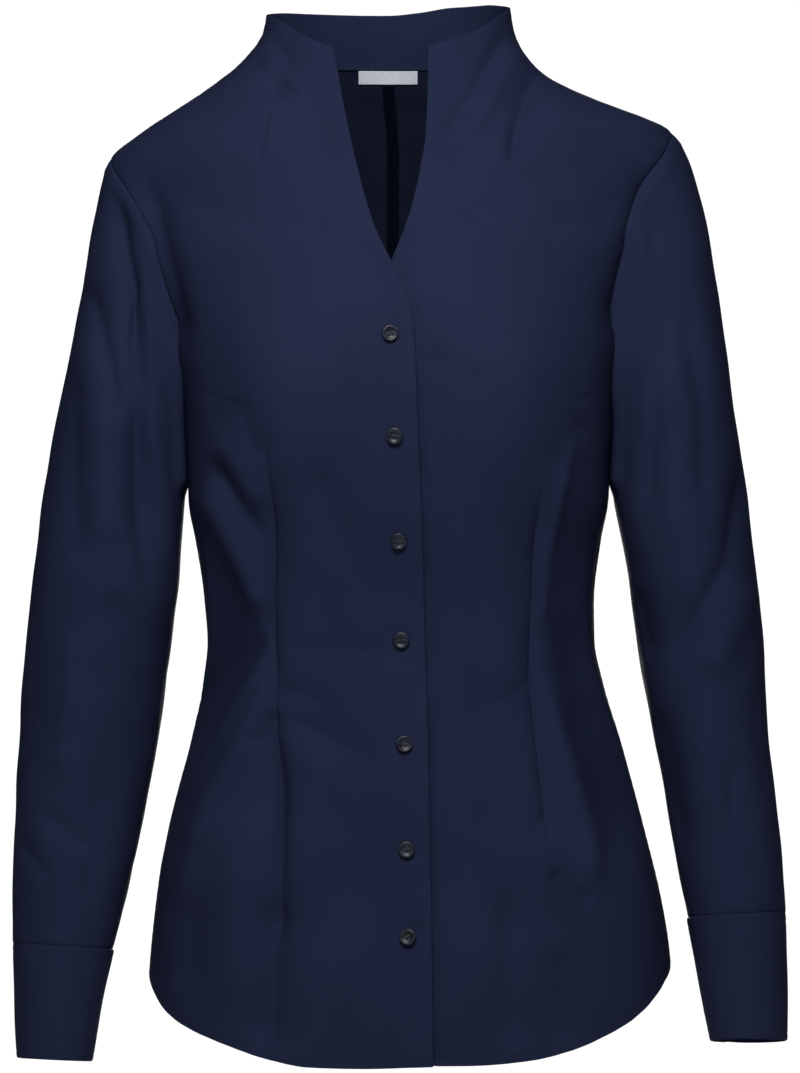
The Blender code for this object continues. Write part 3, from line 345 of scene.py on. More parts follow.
# Where a dart draws the waist in, the cloth beside it is taut: two flat faces that meet in a floor
# running from the dart to the side, and end in ridges above and below. soft rounds the ridges and
# floor the line between the faces.
Tuck = namedtuple("Tuck", "dart side above below soft floor")
FRONT_TUCKS = [
    Tuck((-87, -84, -396), (-133.5, -3, -436), (-138, -46, -318), (-144, -34, -486), 2.2, 3.0),
    Tuck((90, -87, -400), (133.5, -20, -404), (141, -60, -280), (143, -52, -530), 8.0, 14.0),
]
BACK_TUCKS = [
    Tuck((-67, 84, -398), (-131.5, 18, -398), (-139, 56, -318), (-139, 54, -470), 5.0, 8.0),
    Tuck((67, 84, -398), (133.5, 18, -398), (139, 56, -316), (141, 54, -472), 5.0, 8.0),
]
Bust = namedtuple("Bust", "x z height width depth")
BUSTS = [Bust(-78, -238, 58, 46, 8.0), Bust(74, -238, 58, 46, 8.0)]
Place = namedtuple("Place", "height x")
RIGHT_DART = [
    Place(-700, -86), Place(-584, -82), Place(-515, -83), Place(-425, -84), Place(-342, -85),
    Place(-248, -87), Place(-150, -89), Place(-78, -90), Place(-33, -84), Place(44, -74),
]  # fmt: skip
LEFT_DART = [
    Place(-700, 106), Place(-560, 103), Place(-493, 96), Place(-418, 89), Place(-342, 91),
    Place(-280, 94), Place(-150, 88), Place(-71, 78), Place(-31, 70), Place(44, 60),
]  # fmt: skip
BACK_DART = [
    Place(-700, 78), Place(-540, 75), Place(-460, 69), Place(-398, 66), Place(-340, 67),
    Place(-270, 72), Place(-120, 76), Place(-30, 64), Place(44, 50),
]  # fmt: skip

# ---- buttons and label -------------------------------------------------------------------------
BUTTON_RADIUS = 5.6
BUTTON_THICK = 2.6
BUTTON_LIFT = 0.75  # from the cloth to the button's back
BUTTON_INSET = 15.6  # from the upper front's edge to the button's centre
HOLE_PLACE = 1.25  # a thread hole's distance from the centre, each way
HOLE_LENGTH = 11.2  # of a buttonhole
HOLE_WIDTH = 2.6
BUTTON_HEIGHTS = [-192.0, -259.5, -329.0, -395.0, -464.0, -533.5, -591.0]
BUTTON_TURNS = [6, -14, 9, 3, -8, 2, 24]  # degrees each was sewn on askew
BUTTON_TILTS = [(4, -3), (-3, 5), (2, 4), (-4, 2), (3, 3), (0, 1), (-7, 8)]  # sideways, upwards
CUFF_BUTTON_SHARES = [0.27, 0.73]  # down the cuff
CUFF_BUTTON_TURN = CUFF_START + 360 + CUFF_LAP / 2
LABEL_WIDTH = 41.0
LABEL_HEIGHT = 8.9
LABEL_TOP = NECK_SEAM - 0.5
STRIP_WIDTH = 8.0  # centre-back seam, felled flat inside
PLACKET_WIDTH = 12.0

# ---- flat cuts, in metres: width and length of the piece's box, and its area --------------------
Cut = namedtuple("Cut", "width length area")


# ---- curves and tables -------------------------------------------------------------------------
def smooth(xs, ys, at):
    """A cubic through a table's points whose slopes are harmonic means, so it never overshoots."""
    xs, ys = np.asarray(xs, float), np.asarray(ys, float)
    step = np.diff(xs)
    chord = np.diff(ys) / step
    before, after = chord[:-1], chord[1:]
    same_way = before * after > 0
    safe_before = np.where(same_way, before, 1.0)
    safe_after = np.where(same_way, after, 1.0)
    w0, w1 = 2 * step[1:] + step[:-1], step[1:] + 2 * step[:-1]
    slope = np.concatenate([chord[:1], chord[1:] * 0, chord[-1:]])
    slope[1:-1] = np.where(same_way, (w0 + w1) / (w0 / safe_before + w1 / safe_after), 0.0)
    at = np.clip(np.asarray(at, float), xs[0], xs[-1])
    k = np.clip(np.searchsorted(xs, at) - 1, 0, len(step) - 1)
    t = (at - xs[k]) / step[k]
    return (
        ys[k] * (1 + 2 * t) * (1 - t) ** 2
        + slope[k] * step[k] * t * (1 - t) ** 2
        + ys[k + 1] * t * t * (3 - 2 * t)
        + slope[k + 1] * step[k] * t * t * (t - 1)
    )


def read(table, column, at):
    """A column of a table at any place, by the table's first column."""
    return smooth([row[0] for row in table], [getattr(row, column) for row in table], at)


def ease(t):
    """A step from 0 to 1 with level ends: 3t^2 - 2t^3."""
    t = np.clip(t, 0.0, 1.0)
    return t * t * (3 - 2 * t)


def unit(v):
    return v / np.maximum(np.linalg.norm(v, axis=-1, keepdims=True), 1e-12)


# ---- creases as depth --------------------------------------------------------------------------
CREASE_FADE = 0.22  # share of a crease's line
CREASE_REACH = 7  # widths past which a crease is too shallow to work out
WAVE_LENGTHS = (100.0, 74.0, 52.0, 37.0, 26.0)
WAVE_LEAN = 0.6  # waves run longer up and down than across


def crease_depth(crease, x, z):
    """Depth times e^(-(root(d^2 + soft^2) - soft) / width), d being the distance to the crease's
    line; it rises and fades over CREASE_FADE of the line at each end."""
    line = np.array(crease.line, float)
    spans = np.diff(line, axis=0)
    lengths = np.hypot(spans[:, 0], spans[:, 1])
    starts = np.concatenate([[0.0], np.cumsum(lengths)])
    nearest = np.full(x.shape, np.inf)
    along = np.zeros(x.shape)
    for foot, span, length, start in zip(line, spans, lengths, starts):
        t = np.clip(((x - foot[0]) * span[0] + (z - foot[1]) * span[1]) / length**2, 0, 1)
        gone = np.hypot(x - foot[0] - t * span[0], z - foot[1] - t * span[1])
        closer = gone < nearest
        nearest = np.where(closer, gone, nearest)
        along = np.where(closer, start + t * length, along)
    fade = CREASE_FADE * starts[-1]
    ends = ease(along / fade) * ease((starts[-1] - along) / fade)
    fall = np.exp(-(np.sqrt(nearest**2 + crease.soft**2) - crease.soft) / crease.width)
    return crease.depth * ends * fall


def relief(creases, x, z):
    """The sum of all creases' depths, each only worked out near its own line."""
    x, z = np.broadcast_arrays(x, z)
    total = np.zeros(x.shape)
    for crease in creases:
        line = np.array(crease.line, float)
        reach = CREASE_REACH * crease.width + crease.soft
        near = (x > line[:, 0].min() - reach) & (x < line[:, 0].max() + reach)
        near &= (z > line[:, 1].min() - reach) & (z < line[:, 1].max() + reach)
        total[near] += crease_depth(crease, x[near], z[near])
    return total


def slow_waves(x, z, seed, height):
    """The unevenness of hung cloth: sine waves of WAVE_LENGTHS in seeded directions, each as high as
    it is long; height is that of a wave 100 mm long."""
    chance = np.random.default_rng(seed)
    total = np.zeros(np.broadcast(x, z).shape)
    for length in WAVE_LENGTHS:
        way = chance.uniform(0, math.pi)
        shift = chance.uniform(0, 2 * math.pi)
        run = x * math.cos(way) + WAVE_LEAN * z * math.sin(way)
        total = total + np.sin(2 * math.pi * run / length + shift) * length / WAVE_LENGTHS[0]
    return total * height


# ---- the body's surface ------------------------------------------------------------------------
TUCK_SPAN = (-560.0, -230.0)  # a tuck fades in above the first height and out above the second
TUCK_FROM_MIDDLE = 70.0  # and starts this far from centre
TUCK_RIDGE = 0.1  # of its softness: how far the cloth lifts where a tuck's face begins
SIDE_FADE = 14.0  # creases fade over this depth at the side seam
TURN_STEP = 0.004  # radians, and height in millimetres, between which a tangent is taken
HEIGHT_STEP = 0.5
FRONT_WAVES = {"seed": 5, "height": 0.32}
BACK_WAVES = {"seed": 9, "height": 0.45}


def plane_depth(first, second, third, x, z):
    """Depth y of the plane through three points, at x and z."""
    corners = np.array([first, second, third], float)
    across, up, level = np.linalg.solve(
        np.stack([corners[:, 0], corners[:, 2], np.ones(3)], axis=1), corners[:, 1]
    )
    return across * x + up * z + level


def draw_in(tucks, x, y, z, inward):
    """The larger of the form's depth and the shallower of a tuck's two planes, each choice rounded
    as (a + b +- root((a - b)^2 + soft^2)) / 2; inward is +1 on the front and -1 behind."""
    for tuck in tucks:
        above = plane_depth(tuck.dart, tuck.side, tuck.above, x, z) * inward
        below = plane_depth(tuck.dart, tuck.side, tuck.below, x, z) * inward
        floor = (above + below - np.sqrt((above - below) ** 2 + tuck.floor**2)) / 2
        own = y * inward
        drawn = (own + floor + np.sqrt((own - floor) ** 2 + tuck.soft**2)) / 2
        ridge = tuck.soft * TUCK_RIDGE * np.exp(-np.abs(own - floor) / tuck.soft)
        same_side = ease((x * np.sign(tuck.dart[0]) - TUCK_FROM_MIDDLE) / 20.0)
        span = ease((z - TUCK_SPAN[0]) / 60.0) * ease((TUCK_SPAN[1] - z) / 50.0)
        share = same_side * span * ease(np.abs(y) / 10.0)
        y = y + inward * (drawn - own - ridge) * share
    return y


def bare_body(turn, z):
    """The filled-out form: at each height a blunt ellipse, |x|^n + |y|^n = 1 between its outlines."""
    s, c = np.sin(turn), np.cos(turn)
    middle = read(BODY, "middle", z)
    half = np.where(s > 0, read(BODY, "right", z) - middle, middle - read(BODY, "left", z))
    front = c > 0
    blunt = np.where(front, read(BODY, "square_front", z), read(BODY, "square_back", z))
    depth = np.where(front, read(BODY, "front", z), read(BODY, "back", z))
    x = middle + np.sign(s) * half * np.abs(s) ** (2 / blunt)
    y = depth * np.abs(c) ** (2 / blunt)
    return np.stack(np.broadcast_arrays(x, y, z), axis=-1)


def body_normal(turn, z):
    """The outward direction of the filled-out form: the cross of its two tangents."""
    across = bare_body(turn + TURN_STEP, z) - bare_body(turn - TURN_STEP, z)
    up = bare_body(turn, z + HEIGHT_STEP) - bare_body(turn, z - HEIGHT_STEP)
    return unit(np.cross(across, up))


def body(turn, z):
    """The cloth's outer face: the filled-out form, drawn in by its tucks and creases and filled at
    the bust by depth e^-((dx / width)^2 + (dz / height)^2)."""
    turn, z = np.broadcast_arrays(np.asarray(turn, float), np.asarray(z, float))
    p = bare_body(turn, z)
    x, y = p[..., 0], p[..., 1]
    drawn_front = draw_in(FRONT_TUCKS, x, y, z, 1.0)
    drawn_back = draw_in(BACK_TUCKS, x, y, z, -1.0)
    y = np.where(y < 0, drawn_front, drawn_back)
    p = np.stack([x, y, p[..., 2]], axis=-1)
    to_side = ease(np.abs(y) / SIDE_FADE)
    front = -relief(FRONT_CREASES, x, z) + slow_waves(x, z, **FRONT_WAVES)
    behind = -relief(BACK_CREASES, x, z) + slow_waves(x, z, **BACK_WAVES)
    out = np.where(y < 0, front, behind) * to_side
    for bust in BUSTS:
        bell = ((x - bust.x) / bust.width) ** 2 + ((z - bust.z) / bust.height) ** 2
        out = out + np.where(y < 0, bust.depth * np.exp(-bell), 0)
    return p + body_normal(turn, z) * out[..., None]


def turn_at_depth(y, z):
    """How far round from centre front the front is y deep, or the back from centre back."""
    blunt = np.where(y < 0, read(BODY, "square_front", z), read(BODY, "square_back", z))
    depth = np.where(y < 0, read(BODY, "front", z), read(BODY, "back", z))
    return np.arccos(np.clip(np.abs(y / depth), 0, 1) ** (blunt / 2))


def turn_at_x(x, z):
    """The signed angle from centre front at which the front passes x."""
    middle = read(BODY, "middle", z)
    half = np.where(x > middle, read(BODY, "right", z) - middle, middle - read(BODY, "left", z))
    share = np.clip(np.abs(x - middle) / half, 0, 1)
    return np.sign(x - middle) * np.arcsin(share ** (read(BODY, "square_front", z) / 2))


def side_depth(shoulder, column, z):
    """Depth of a panel's side edge: half a seam's gap at seams, the armhole between."""
    share = (z - shoulder.underarm) / (shoulder.point - shoulder.underarm)
    inside = read(ARMHOLE, column, np.clip(share, 0, 1))
    return np.maximum(inside, SEAM_GAP / 2)


# ---- rows and columns of a panel ---------------------------------------------------------------
HEM_ROWS = 30
SIDE_ROWS = 128
ARMHOLE_ROWS = 92
SHOULDER_ROWS = 14
COLLAR_ROWS = 24
HEM_TURN_ROWS = [0, 0.5, 1.2, 2.2, 3.2, 4.2, 4.7, HEM_STITCH, 5.3, 5.8, 6.3, 7.0]  # above the edge
ROUND_SHARE = 0.75  # of the armhole's rows that are spaced as a cosine
DART_EVEN = 0.3  # share of a row's columns that are spaced evenly beside a dart
DART_CROWD = 1.8


def armhole_heights(shoulder, count):
    """Heights from underarm to shoulder point, close together at both ends, where the hole turns."""
    turned = (1 - np.cos(np.linspace(0, math.pi, count + 1))) / 2
    mixed = ROUND_SHARE * turned + (1 - ROUND_SHARE) * np.linspace(0, 1, count + 1)
    return shoulder.underarm + (shoulder.point - shoulder.underarm) * mixed


def panel_heights(shoulder, hem, top, shares):
    """Heights of a panel's points: rows that follow the hem, level rows, rows that follow the top."""
    low = np.linspace(HIP_ROW, shoulder.underarm, SIDE_ROWS + 1)
    arm = armhole_heights(shoulder, ARMHOLE_ROWS)[1:]
    high = np.linspace(shoulder.point, NECK_ROW, SHOULDER_ROWS + 1)[1:]
    levels = np.concatenate([low, arm, high])
    hem_height = read(hem, "height", shares)
    top_height = read(top, "height", shares) if isinstance(top, list) else np.full(len(shares), top)
    above = np.linspace(0, 1, HEM_ROWS + 1)[1:-1, None]
    hem_rows = hem_height + np.array(HEM_TURN_ROWS)[:, None]
    rest = hem_rows[-1] + (HIP_ROW - hem_rows[-1]) * above
    rise = np.linspace(0, 1, COLLAR_ROWS + 1)[1:, None]
    top_rows = NECK_ROW + (top_height - NECK_ROW) * rise
    middle_rows = np.repeat(levels[:, None], len(shares), axis=1)
    return np.concatenate([hem_rows, rest, middle_rows, top_rows])


def near_dart(start, end, dart, columns):
    """Angles along each row, from start to end, crowded towards the dart's line, which one column
    follows: on each side the spacing grows as DART_EVEN t + (1 - DART_EVEN) t^DART_CROWD."""
    place = np.clip((dart - start) / (end - start), 0.25, 0.75)[:, :1]
    t = np.linspace(0, 1, columns // 2 + 1)
    grown = DART_EVEN * t + (1 - DART_EVEN) * t**DART_CROWD
    inward = place * (1 - grown[::-1])
    outward = place + (1 - place) * grown[1:]
    return start[:, :1] + (end - start)[:, :1] * np.concatenate([inward, outward], axis=1)


# ---- meshes ------------------------------------------------------------------------------------
def put_mesh(name, points, quads, corners, finish, inside_shade=None, inside_shaded=None):
    """A mesh from arrays: points in millimetres, four corners a face, and a flat-cut place in metres
    for every corner as its UV map. Faces marked as the cloth's inner side take the second finish:
    painted shade."""
    mesh = bpy.data.meshes.new(name)
    mesh.vertices.add(len(points))
    mesh.vertices.foreach_set("co", (points * MM).astype(np.float32).ravel())
    mesh.loops.add(quads.size)
    mesh.loops.foreach_set("vertex_index", quads.astype(np.int32).ravel())
    mesh.polygons.add(len(quads))
    mesh.polygons.foreach_set("loop_start", np.arange(0, quads.size, 4, dtype=np.int32))
    mesh.update(calc_edges=True)
    layer = mesh.uv_layers.new(name="cut")
    layer.data.foreach_set("uv", (corners * MM).astype(np.float32).ravel())
    mesh.validate()
    mesh.shade_smooth()
    mesh.materials.append(finish)
    if inside_shade:
        mesh.materials.append(inside_shade)
        mesh.polygons.foreach_set("material_index", inside_shaded.astype(np.int32))
    made = bpy.data.objects.new(name, mesh)
    bpy.context.scene.collection.objects.link(made)
    return made


def border_of(grid):
    """The border of a grid as one loop: along the foot, up the far side, back, and down."""
    return np.concatenate([grid[0], grid[1:, -1], grid[-1, -2::-1], grid[-2:0:-1, 0]])


def flat_places(outer, ring):
    """Where a grid's points lie on the flat cut: lengths along its rows and up its columns."""
    across = np.linalg.norm(np.diff(outer, axis=1), axis=-1)
    up = np.linalg.norm(np.diff(outer, axis=0), axis=-1)
    u = np.concatenate([np.zeros((len(outer), 1)), np.cumsum(across, axis=1)], axis=1)
    v = np.concatenate([np.zeros((1, outer.shape[1])), np.cumsum(up, axis=0)])
    v = np.repeat(v.mean(axis=1)[:, None], outer.shape[1], axis=1)
    if ring:
        closing = np.linalg.norm(outer[:, :1] - outer[:, -1:], axis=-1)
        u = np.concatenate([u, u[:, -1:] + closing], axis=1)
        v = np.concatenate([v, v[:, :1]], axis=1)
    return np.stack([u, v], axis=-1)


RIM = 4  # faces across a rounded edge


def rim_loops(outer_edge, inner_edge, away, bulge):
    """The rounded edge between two faces: half an ellipse from one to the other through the bulge."""
    turn = np.pi * np.arange(1, RIM)[:, None, None] / RIM
    middle = (outer_edge + inner_edge) / 2
    half = (outer_edge - inner_edge) / 2
    return middle + half * np.cos(turn) + away * bulge * np.sin(turn)


def faces_of(grid):
    """The four corners of each cell of a grid, a row for each cell."""
    cells = np.stack([grid[:-1, :-1], grid[:-1, 1:], grid[1:, 1:], grid[1:, :-1]], axis=2)
    return cells.reshape(-1, 4, *grid.shape[2:])


def open_borders(outer, number, place):
    """The border of a panel as one list of (numbers, next numbers, places, next places, away)."""
    away = np.zeros_like(outer)
    away[0] += unit(outer[0] - outer[1])
    away[-1] += unit(outer[-1] - outer[-2])
    away[:, 0] += unit(outer[:, 0] - outer[:, 1])
    away[:, -1] += unit(outer[:, -1] - outer[:, -2])
    loop, loop_place = border_of(number), border_of(place)
    after, after_place = np.roll(loop, -1), np.roll(loop_place, -1, axis=0)
    return [(loop, after, loop_place, after_place, border_of(unit(away)))]


def ring_borders(outer, number, place):
    """The two open ends of a tube, as open_borders gives a panel's one border."""
    head_away = unit(outer[-1] - outer[-2])
    return [
        (number[0, :-1], number[0, 1:], place[0, :-1], place[0, 1:], unit(outer[0] - outer[1])),
        (number[-1, :0:-1], number[-1, -2::-1], place[-1, :0:-1], place[-1, -2::-1],
         np.roll(head_away[::-1], 1, axis=0)),
    ]  # fmt: skip


def shell(name, outer, inner, finish, ring=False, bulge=EDGE_BULGE, inside_shade=None):
    """A closed shell: outer face, inner face turned round, and rounded edges between their
    borders."""
    rows, columns = outer.shape[:2]
    count = rows * columns
    number = np.arange(count).reshape(rows, columns)
    number = np.concatenate([number, number[:, :1]], axis=1) if ring else number
    place = flat_places(outer, ring)
    face, face_place = faces_of(number), faces_of(place)
    quads = [face, face[:, ::-1] + count]
    corners = [face_place, face_place[:, ::-1]]
    flat_outer, flat_inner = outer.reshape(-1, 3), inner.reshape(-1, 3)
    points = [flat_outer, flat_inner]
    borders = ring_borders(outer, number, place) if ring else open_borders(outer, number, place)
    made = 2 * count
    for loop, after, loop_place, after_place, away in borders:
        size = len(loop)
        points.append(rim_loops(flat_outer[loop], flat_inner[loop], away, bulge).reshape(-1, 3))
        step = made + np.arange(size)
        follow = made + (np.arange(size) + 1) % size
        here = [loop] + [step + size * k for k in range(RIM - 1)] + [loop + count]
        ahead = [after] + [follow + size * k for k in range(RIM - 1)] + [after + count]
        for k in range(RIM):
            quads.append(np.stack([ahead[k], here[k], here[k + 1], ahead[k + 1]], axis=1))
            corners.append(np.stack([after_place, loop_place, loop_place, after_place], axis=1))
        made += size * (RIM - 1)
    points, quads, corners = (np.concatenate(part) for part in (points, quads, corners))
    across = outer[1:-1, 2:] - outer[1:-1, :-2]
    up = outer[2:, 1:-1] - outer[:-2, 1:-1]
    if (np.cross(across, up) * (outer - inner)[1:-1, 1:-1]).sum() < 0:
        quads, corners = quads[:, ::-1], corners[:, ::-1]
    # the inner faces are marked for the second finish, the painted shade of the inside
    inside_shaded = np.zeros(len(quads))
    inside_shaded[len(face) : 2 * len(face)] = 1
    return put_mesh(name, points, quads, corners, finish, inside_shade, inside_shaded)


def strands(name, middles, ways, lifts, length, radius, finish, bow=0.12):
    """Many short lengths of thread: each a six-sided tube along its way, bowed up by bow cos(90 t)
    degrees, its radius falling as (1 - (0.96 t)^2)^0.3 towards its two ends at t = -1 and 1."""
    t = np.linspace(-1, 1, 7)
    girth = radius * np.sqrt(np.maximum(1 - (0.96 * t) ** 2, 0)) ** 0.6
    spin = np.arange(6) * math.pi / 3
    side = np.cross(ways, lifts)
    centre = (
        middles[:, None]
        + ways[:, None] * (t * length / 2)[None, :, None]
        + lifts[:, None] * (bow * np.cos(t * math.pi / 2))[None, :, None]
    )
    ring = (
        side[:, None] * np.cos(spin)[None, :, None] + lifts[:, None] * np.sin(spin)[None, :, None]
    )
    points = centre[:, :, None] + ring[:, None] * girth[None, :, None, None]
    number = np.arange(points[..., 0].size).reshape(points.shape[:3])
    ahead = np.roll(number, -1, axis=2)
    walls = np.stack([number[:, :-1], ahead[:, :-1], ahead[:, 1:], number[:, 1:]], axis=-1)
    first, last = number[:, 0], number[:, -1]
    caps = [
        first[:, [3, 2, 1, 0]], first[:, [5, 4, 3, 0]],
        last[:, [0, 1, 2, 3]], last[:, [0, 3, 4, 5]],
    ]  # fmt: skip
    quads = np.concatenate([walls.reshape(-1, 4)] + caps)[:, ::-1]
    middle_of = centre[:, :, None].repeat(6, axis=2).reshape(-1, 3)
    flat_points = points.reshape(-1, 3)
    a, b, c = flat_points[quads[0, 0]], flat_points[quads[0, 1]], flat_points[quads[0, 2]]
    if np.dot(np.cross(b - a, c - b), a - middle_of[quads[0, 0]]) < 0:
        quads = quads[:, ::-1]
    corners = np.stack([flat_points[quads][..., 0], flat_points[quads][..., 2]], axis=-1)
    return put_mesh(name, flat_points, quads, corners, finish)


def stitch_places(path, out):
    """Centres, directions and lifts of stitches set STITCH_PITCH apart along a path."""
    gone = np.concatenate([[0], np.cumsum(np.linalg.norm(np.diff(path, axis=0), axis=1))])
    at = np.arange(STITCH_PITCH / 2, gone[-1] - STITCH_PITCH / 2, STITCH_PITCH)

    def along(values, s):
        return np.stack([np.interp(s, gone, values[:, k]) for k in range(3)], axis=1)

    way = unit(along(path, at + 0.6) - along(path, at - 0.6))
    lift = along(out, at)
    lift = unit(lift - way * (lift * way).sum(axis=1, keepdims=True))
    return along(path, at), way, lift


def stitching(name, runs, finish):
    """Lockstitches along one or more (path, outward) runs, half sunk in the cloth."""
    found = [stitch_places(path, out) for path, out in runs]
    middles, ways, lifts = (np.concatenate([run[k] for run in found]) for k in range(3))
    middles = middles - lifts * STITCH_SINK
    return strands(name, middles, ways, lifts, STITCH_LENGTH, THREAD, finish)


# ---- finishes ----------------------------------------------------------------------------------
def node(tree, kind, at, **values):
    """A node of a material at a place in its editor, with the sockets and settings given."""
    made = tree.nodes.new(kind)
    made.location = at
    for name, value in values.items():
        if name in made.inputs:
            made.inputs[name].default_value = value
        else:
            setattr(made, name, value)
    return made


def finish_base(name, rough, specular):
    """An empty finish with its shader's even values set."""
    made = bpy.data.materials.new(name)
    made.use_nodes = True
    tree = made.node_tree
    shader = tree.nodes["Principled BSDF"]
    shader.inputs["Roughness"].default_value = rough
    shader.inputs["Specular IOR Level"].default_value = specular
    return made, tree, shader.inputs


def math_node(tree, operation, at, first, second=None):
    """One operation on one or two values, each a socket or a number."""
    made = node(tree, "ShaderNodeMath", at, operation=operation)
    for socket, value in zip(made.inputs, (first, second)):
        if value is None:
            continue
        if isinstance(value, (int, float)):
            socket.default_value = value
        else:
            tree.links.new(value, socket)
    return made.outputs[0]


def mean(tree, at, first, second):
    """Half the sum of two values."""
    total = math_node(tree, "ADD", at, first, second)
    return math_node(tree, "MULTIPLY", (at[0] + 160, at[1]), total, 0.5)


def ribs(tree, at, place, pitch):
    """Even ribs across a place on the cut: sin(2 pi place / pitch)."""
    turns = math_node(tree, "MULTIPLY", at, place, 2 * math.pi / pitch)
    return math_node(tree, "SINE", (at[0] + 160, at[1]), turns)


def cut_places(tree):
    """Places on the flat cut, in metres, and their parts across and along."""
    places = node(tree, "ShaderNodeUVMap", (-1500, 0), uv_map="cut").outputs["UV"]
    split = node(tree, "ShaderNodeSeparateXYZ", (-1300, -300))
    tree.links.new(places, split.inputs["Vector"])
    return places, split.outputs["X"], split.outputs["Y"]


def stretched_noise(tree, places, at, across, along, detail):
    """Noise stretched over the cut: across and along are how many times it changes in a metre."""
    scaled = node(tree, "ShaderNodeMapping", at, Scale=(across, along, 1.0))
    tree.links.new(places, scaled.inputs["Vector"])
    noise = node(tree, "ShaderNodeTexNoise", (at[0] + 180, at[1]), Scale=1.0, Detail=detail)
    noise.noise_dimensions = "2D"
    tree.links.new(scaled.outputs["Vector"], noise.inputs["Vector"])
    return noise.outputs["Fac"]


def tint(tree, at, value, socket, dark, light, span=(0.0, 1.0)):
    """Colours a socket by a value: dark at the span's foot and below, light at its head and past."""
    ramp = node(tree, "ShaderNodeValToRGB", at)
    for stop, place, colour in zip(ramp.color_ramp.elements, span, (dark, light)):
        stop.position = place
        stop.color = (*colour, 1)
    tree.links.new(value, ramp.inputs["Fac"])
    tree.links.new(ramp.outputs["Color"], socket)


def carry_over(tree, at, value, socket, span, to, **settings):
    """Carries a value from one span over to another, into a socket."""
    ends = {"From Min": span[0], "From Max": span[1], "To Min": to[0], "To Max": to[1]}
    made = node(tree, "ShaderNodeMapRange", at, **settings, **ends)
    tree.links.new(value, made.inputs["Value"])
    tree.links.new(made.outputs["Result"], socket)


def relieved(tree, at, height, socket, strength, distance):
    """Relief from a height, into a socket for a normal; gives the relief's own normal socket."""
    bump = node(tree, "ShaderNodeBump", at, Strength=strength, Distance=distance)
    tree.links.new(height, bump.inputs["Height"])
    tree.links.new(bump.outputs["Normal"], socket)
    return bump.inputs["Normal"]


POPLIN_GLOSS = 0.004  # specular level: the cloth is nearly matt
POPLIN_ROUGH = 0.7
INSIDE_ROUGH = 0.8
THREAD_GLOSS = 0.06
WARP_PITCH = 0.00026  # metres between two ups of a thread, across and along the cut
WEFT_PITCH = 0.00036
RIBBON_PITCH = 0.00042


def poplin(name, dark, light, rough=POPLIN_ROUGH):
    """Plain-woven cotton: thread crossings as sin(u) sin(v) relief, uneven yarns as stretched noise
    in colour, gloss and relief, and a slow drift of dye."""
    made, tree, shader = finish_base(name, rough, POPLIN_GLOSS)
    places, across, along = cut_places(tree)
    over = ribs(tree, (-1120, -240), across, WARP_PITCH)
    under = ribs(tree, (-1120, -400), along, WEFT_PITCH)
    crossing = math_node(tree, "MULTIPLY", (-800, -300), over, under)
    yarn_up = stretched_noise(tree, places, (-1300, 300), 1400.0, 70.0, 3.0)
    yarn_across = stretched_noise(tree, places, (-1300, 60), 60.0, 1100.0, 3.0)
    drift = stretched_noise(tree, places, (-1300, 520), 14.0, 11.0, 2.0)
    yarns = mean(tree, (-900, 200), yarn_up, yarn_across)
    tone = mean(tree, (-580, 300), yarns, drift)
    tint(tree, (-260, 300), tone, shader["Base Color"], dark, light, (0.36, 0.64))
    uneven = (rough - 0.06, rough + 0.06)
    carry_over(tree, (-420, 40), yarns, shader["Roughness"], (0.3, 0.7), uneven)
    beneath = relieved(tree, (-220, -200), yarns, shader["Normal"], 0.6, 0.0001)
    relieved(tree, (-420, -300), crossing, beneath, 0.5, 0.00004)
    return made


def sewing_thread(name, dark, light):
    """Spun polyester thread: a twist of two plies as slanting ridges in colour and relief."""
    made, tree, shader = finish_base(name, 0.6, THREAD_GLOSS)
    place = node(tree, "ShaderNodeTexCoord", (-900, 0)).outputs["Object"]
    twist = node(tree, "ShaderNodeTexWave", (-700, 0), Scale=520.0, Distortion=1.0)
    twist.bands_direction = "DIAGONAL"
    tree.links.new(place, twist.inputs["Vector"])
    tint(tree, (-420, 120), twist.outputs["Fac"], shader["Base Color"], dark, light)
    relieved(tree, (-300, -160), twist.outputs["Fac"], shader["Normal"], 0.5, 0.00005)
    return made


def polished_horn(name, dark, light):
    """Cast button plastic that imitates horn: smoky streaks under a face polished more where it is
    dark."""
    made, tree, shader = finish_base(name, 0.3, 0.07)
    place = node(tree, "ShaderNodeTexCoord", (-1100, 0)).outputs["Object"]
    streak = node(tree, "ShaderNodeMapping", (-900, 0), Scale=(260.0, 90.0, 420.0))
    tree.links.new(place, streak.inputs["Vector"])
    smoke = node(tree, "ShaderNodeTexNoise", (-700, 0), Scale=1.0, Detail=4.0, Distortion=1.2)
    tree.links.new(streak.outputs["Vector"], smoke.inputs["Vector"])
    cloud = smoke.outputs["Fac"]
    tint(tree, (-450, 100), cloud, shader["Base Color"], dark, light, (0.35, 0.72))
    carry_over(tree, (-450, -120), cloud, shader["Roughness"], (0.0, 1.0), (0.25, 0.38))
    return made


def satin_ribbon(name, dark, light):
    """White woven label: satin floats as fine ribs across its length."""
    made, tree, shader = finish_base(name, 0.5, THREAD_GLOSS)
    places, _, along = cut_places(tree)
    floats = stretched_noise(tree, places, (-1100, 200), 300.0, 3000.0, 2.0)
    tint(tree, (-450, 200), floats, shader["Base Color"], dark, light, (0.3, 0.7))
    across_ribs = ribs(tree, (-900, -200), along, RIBBON_PITCH)
    relieved(tree, (-300, -200), across_ribs, shader["Normal"], 0.5, 0.00005)
    return made


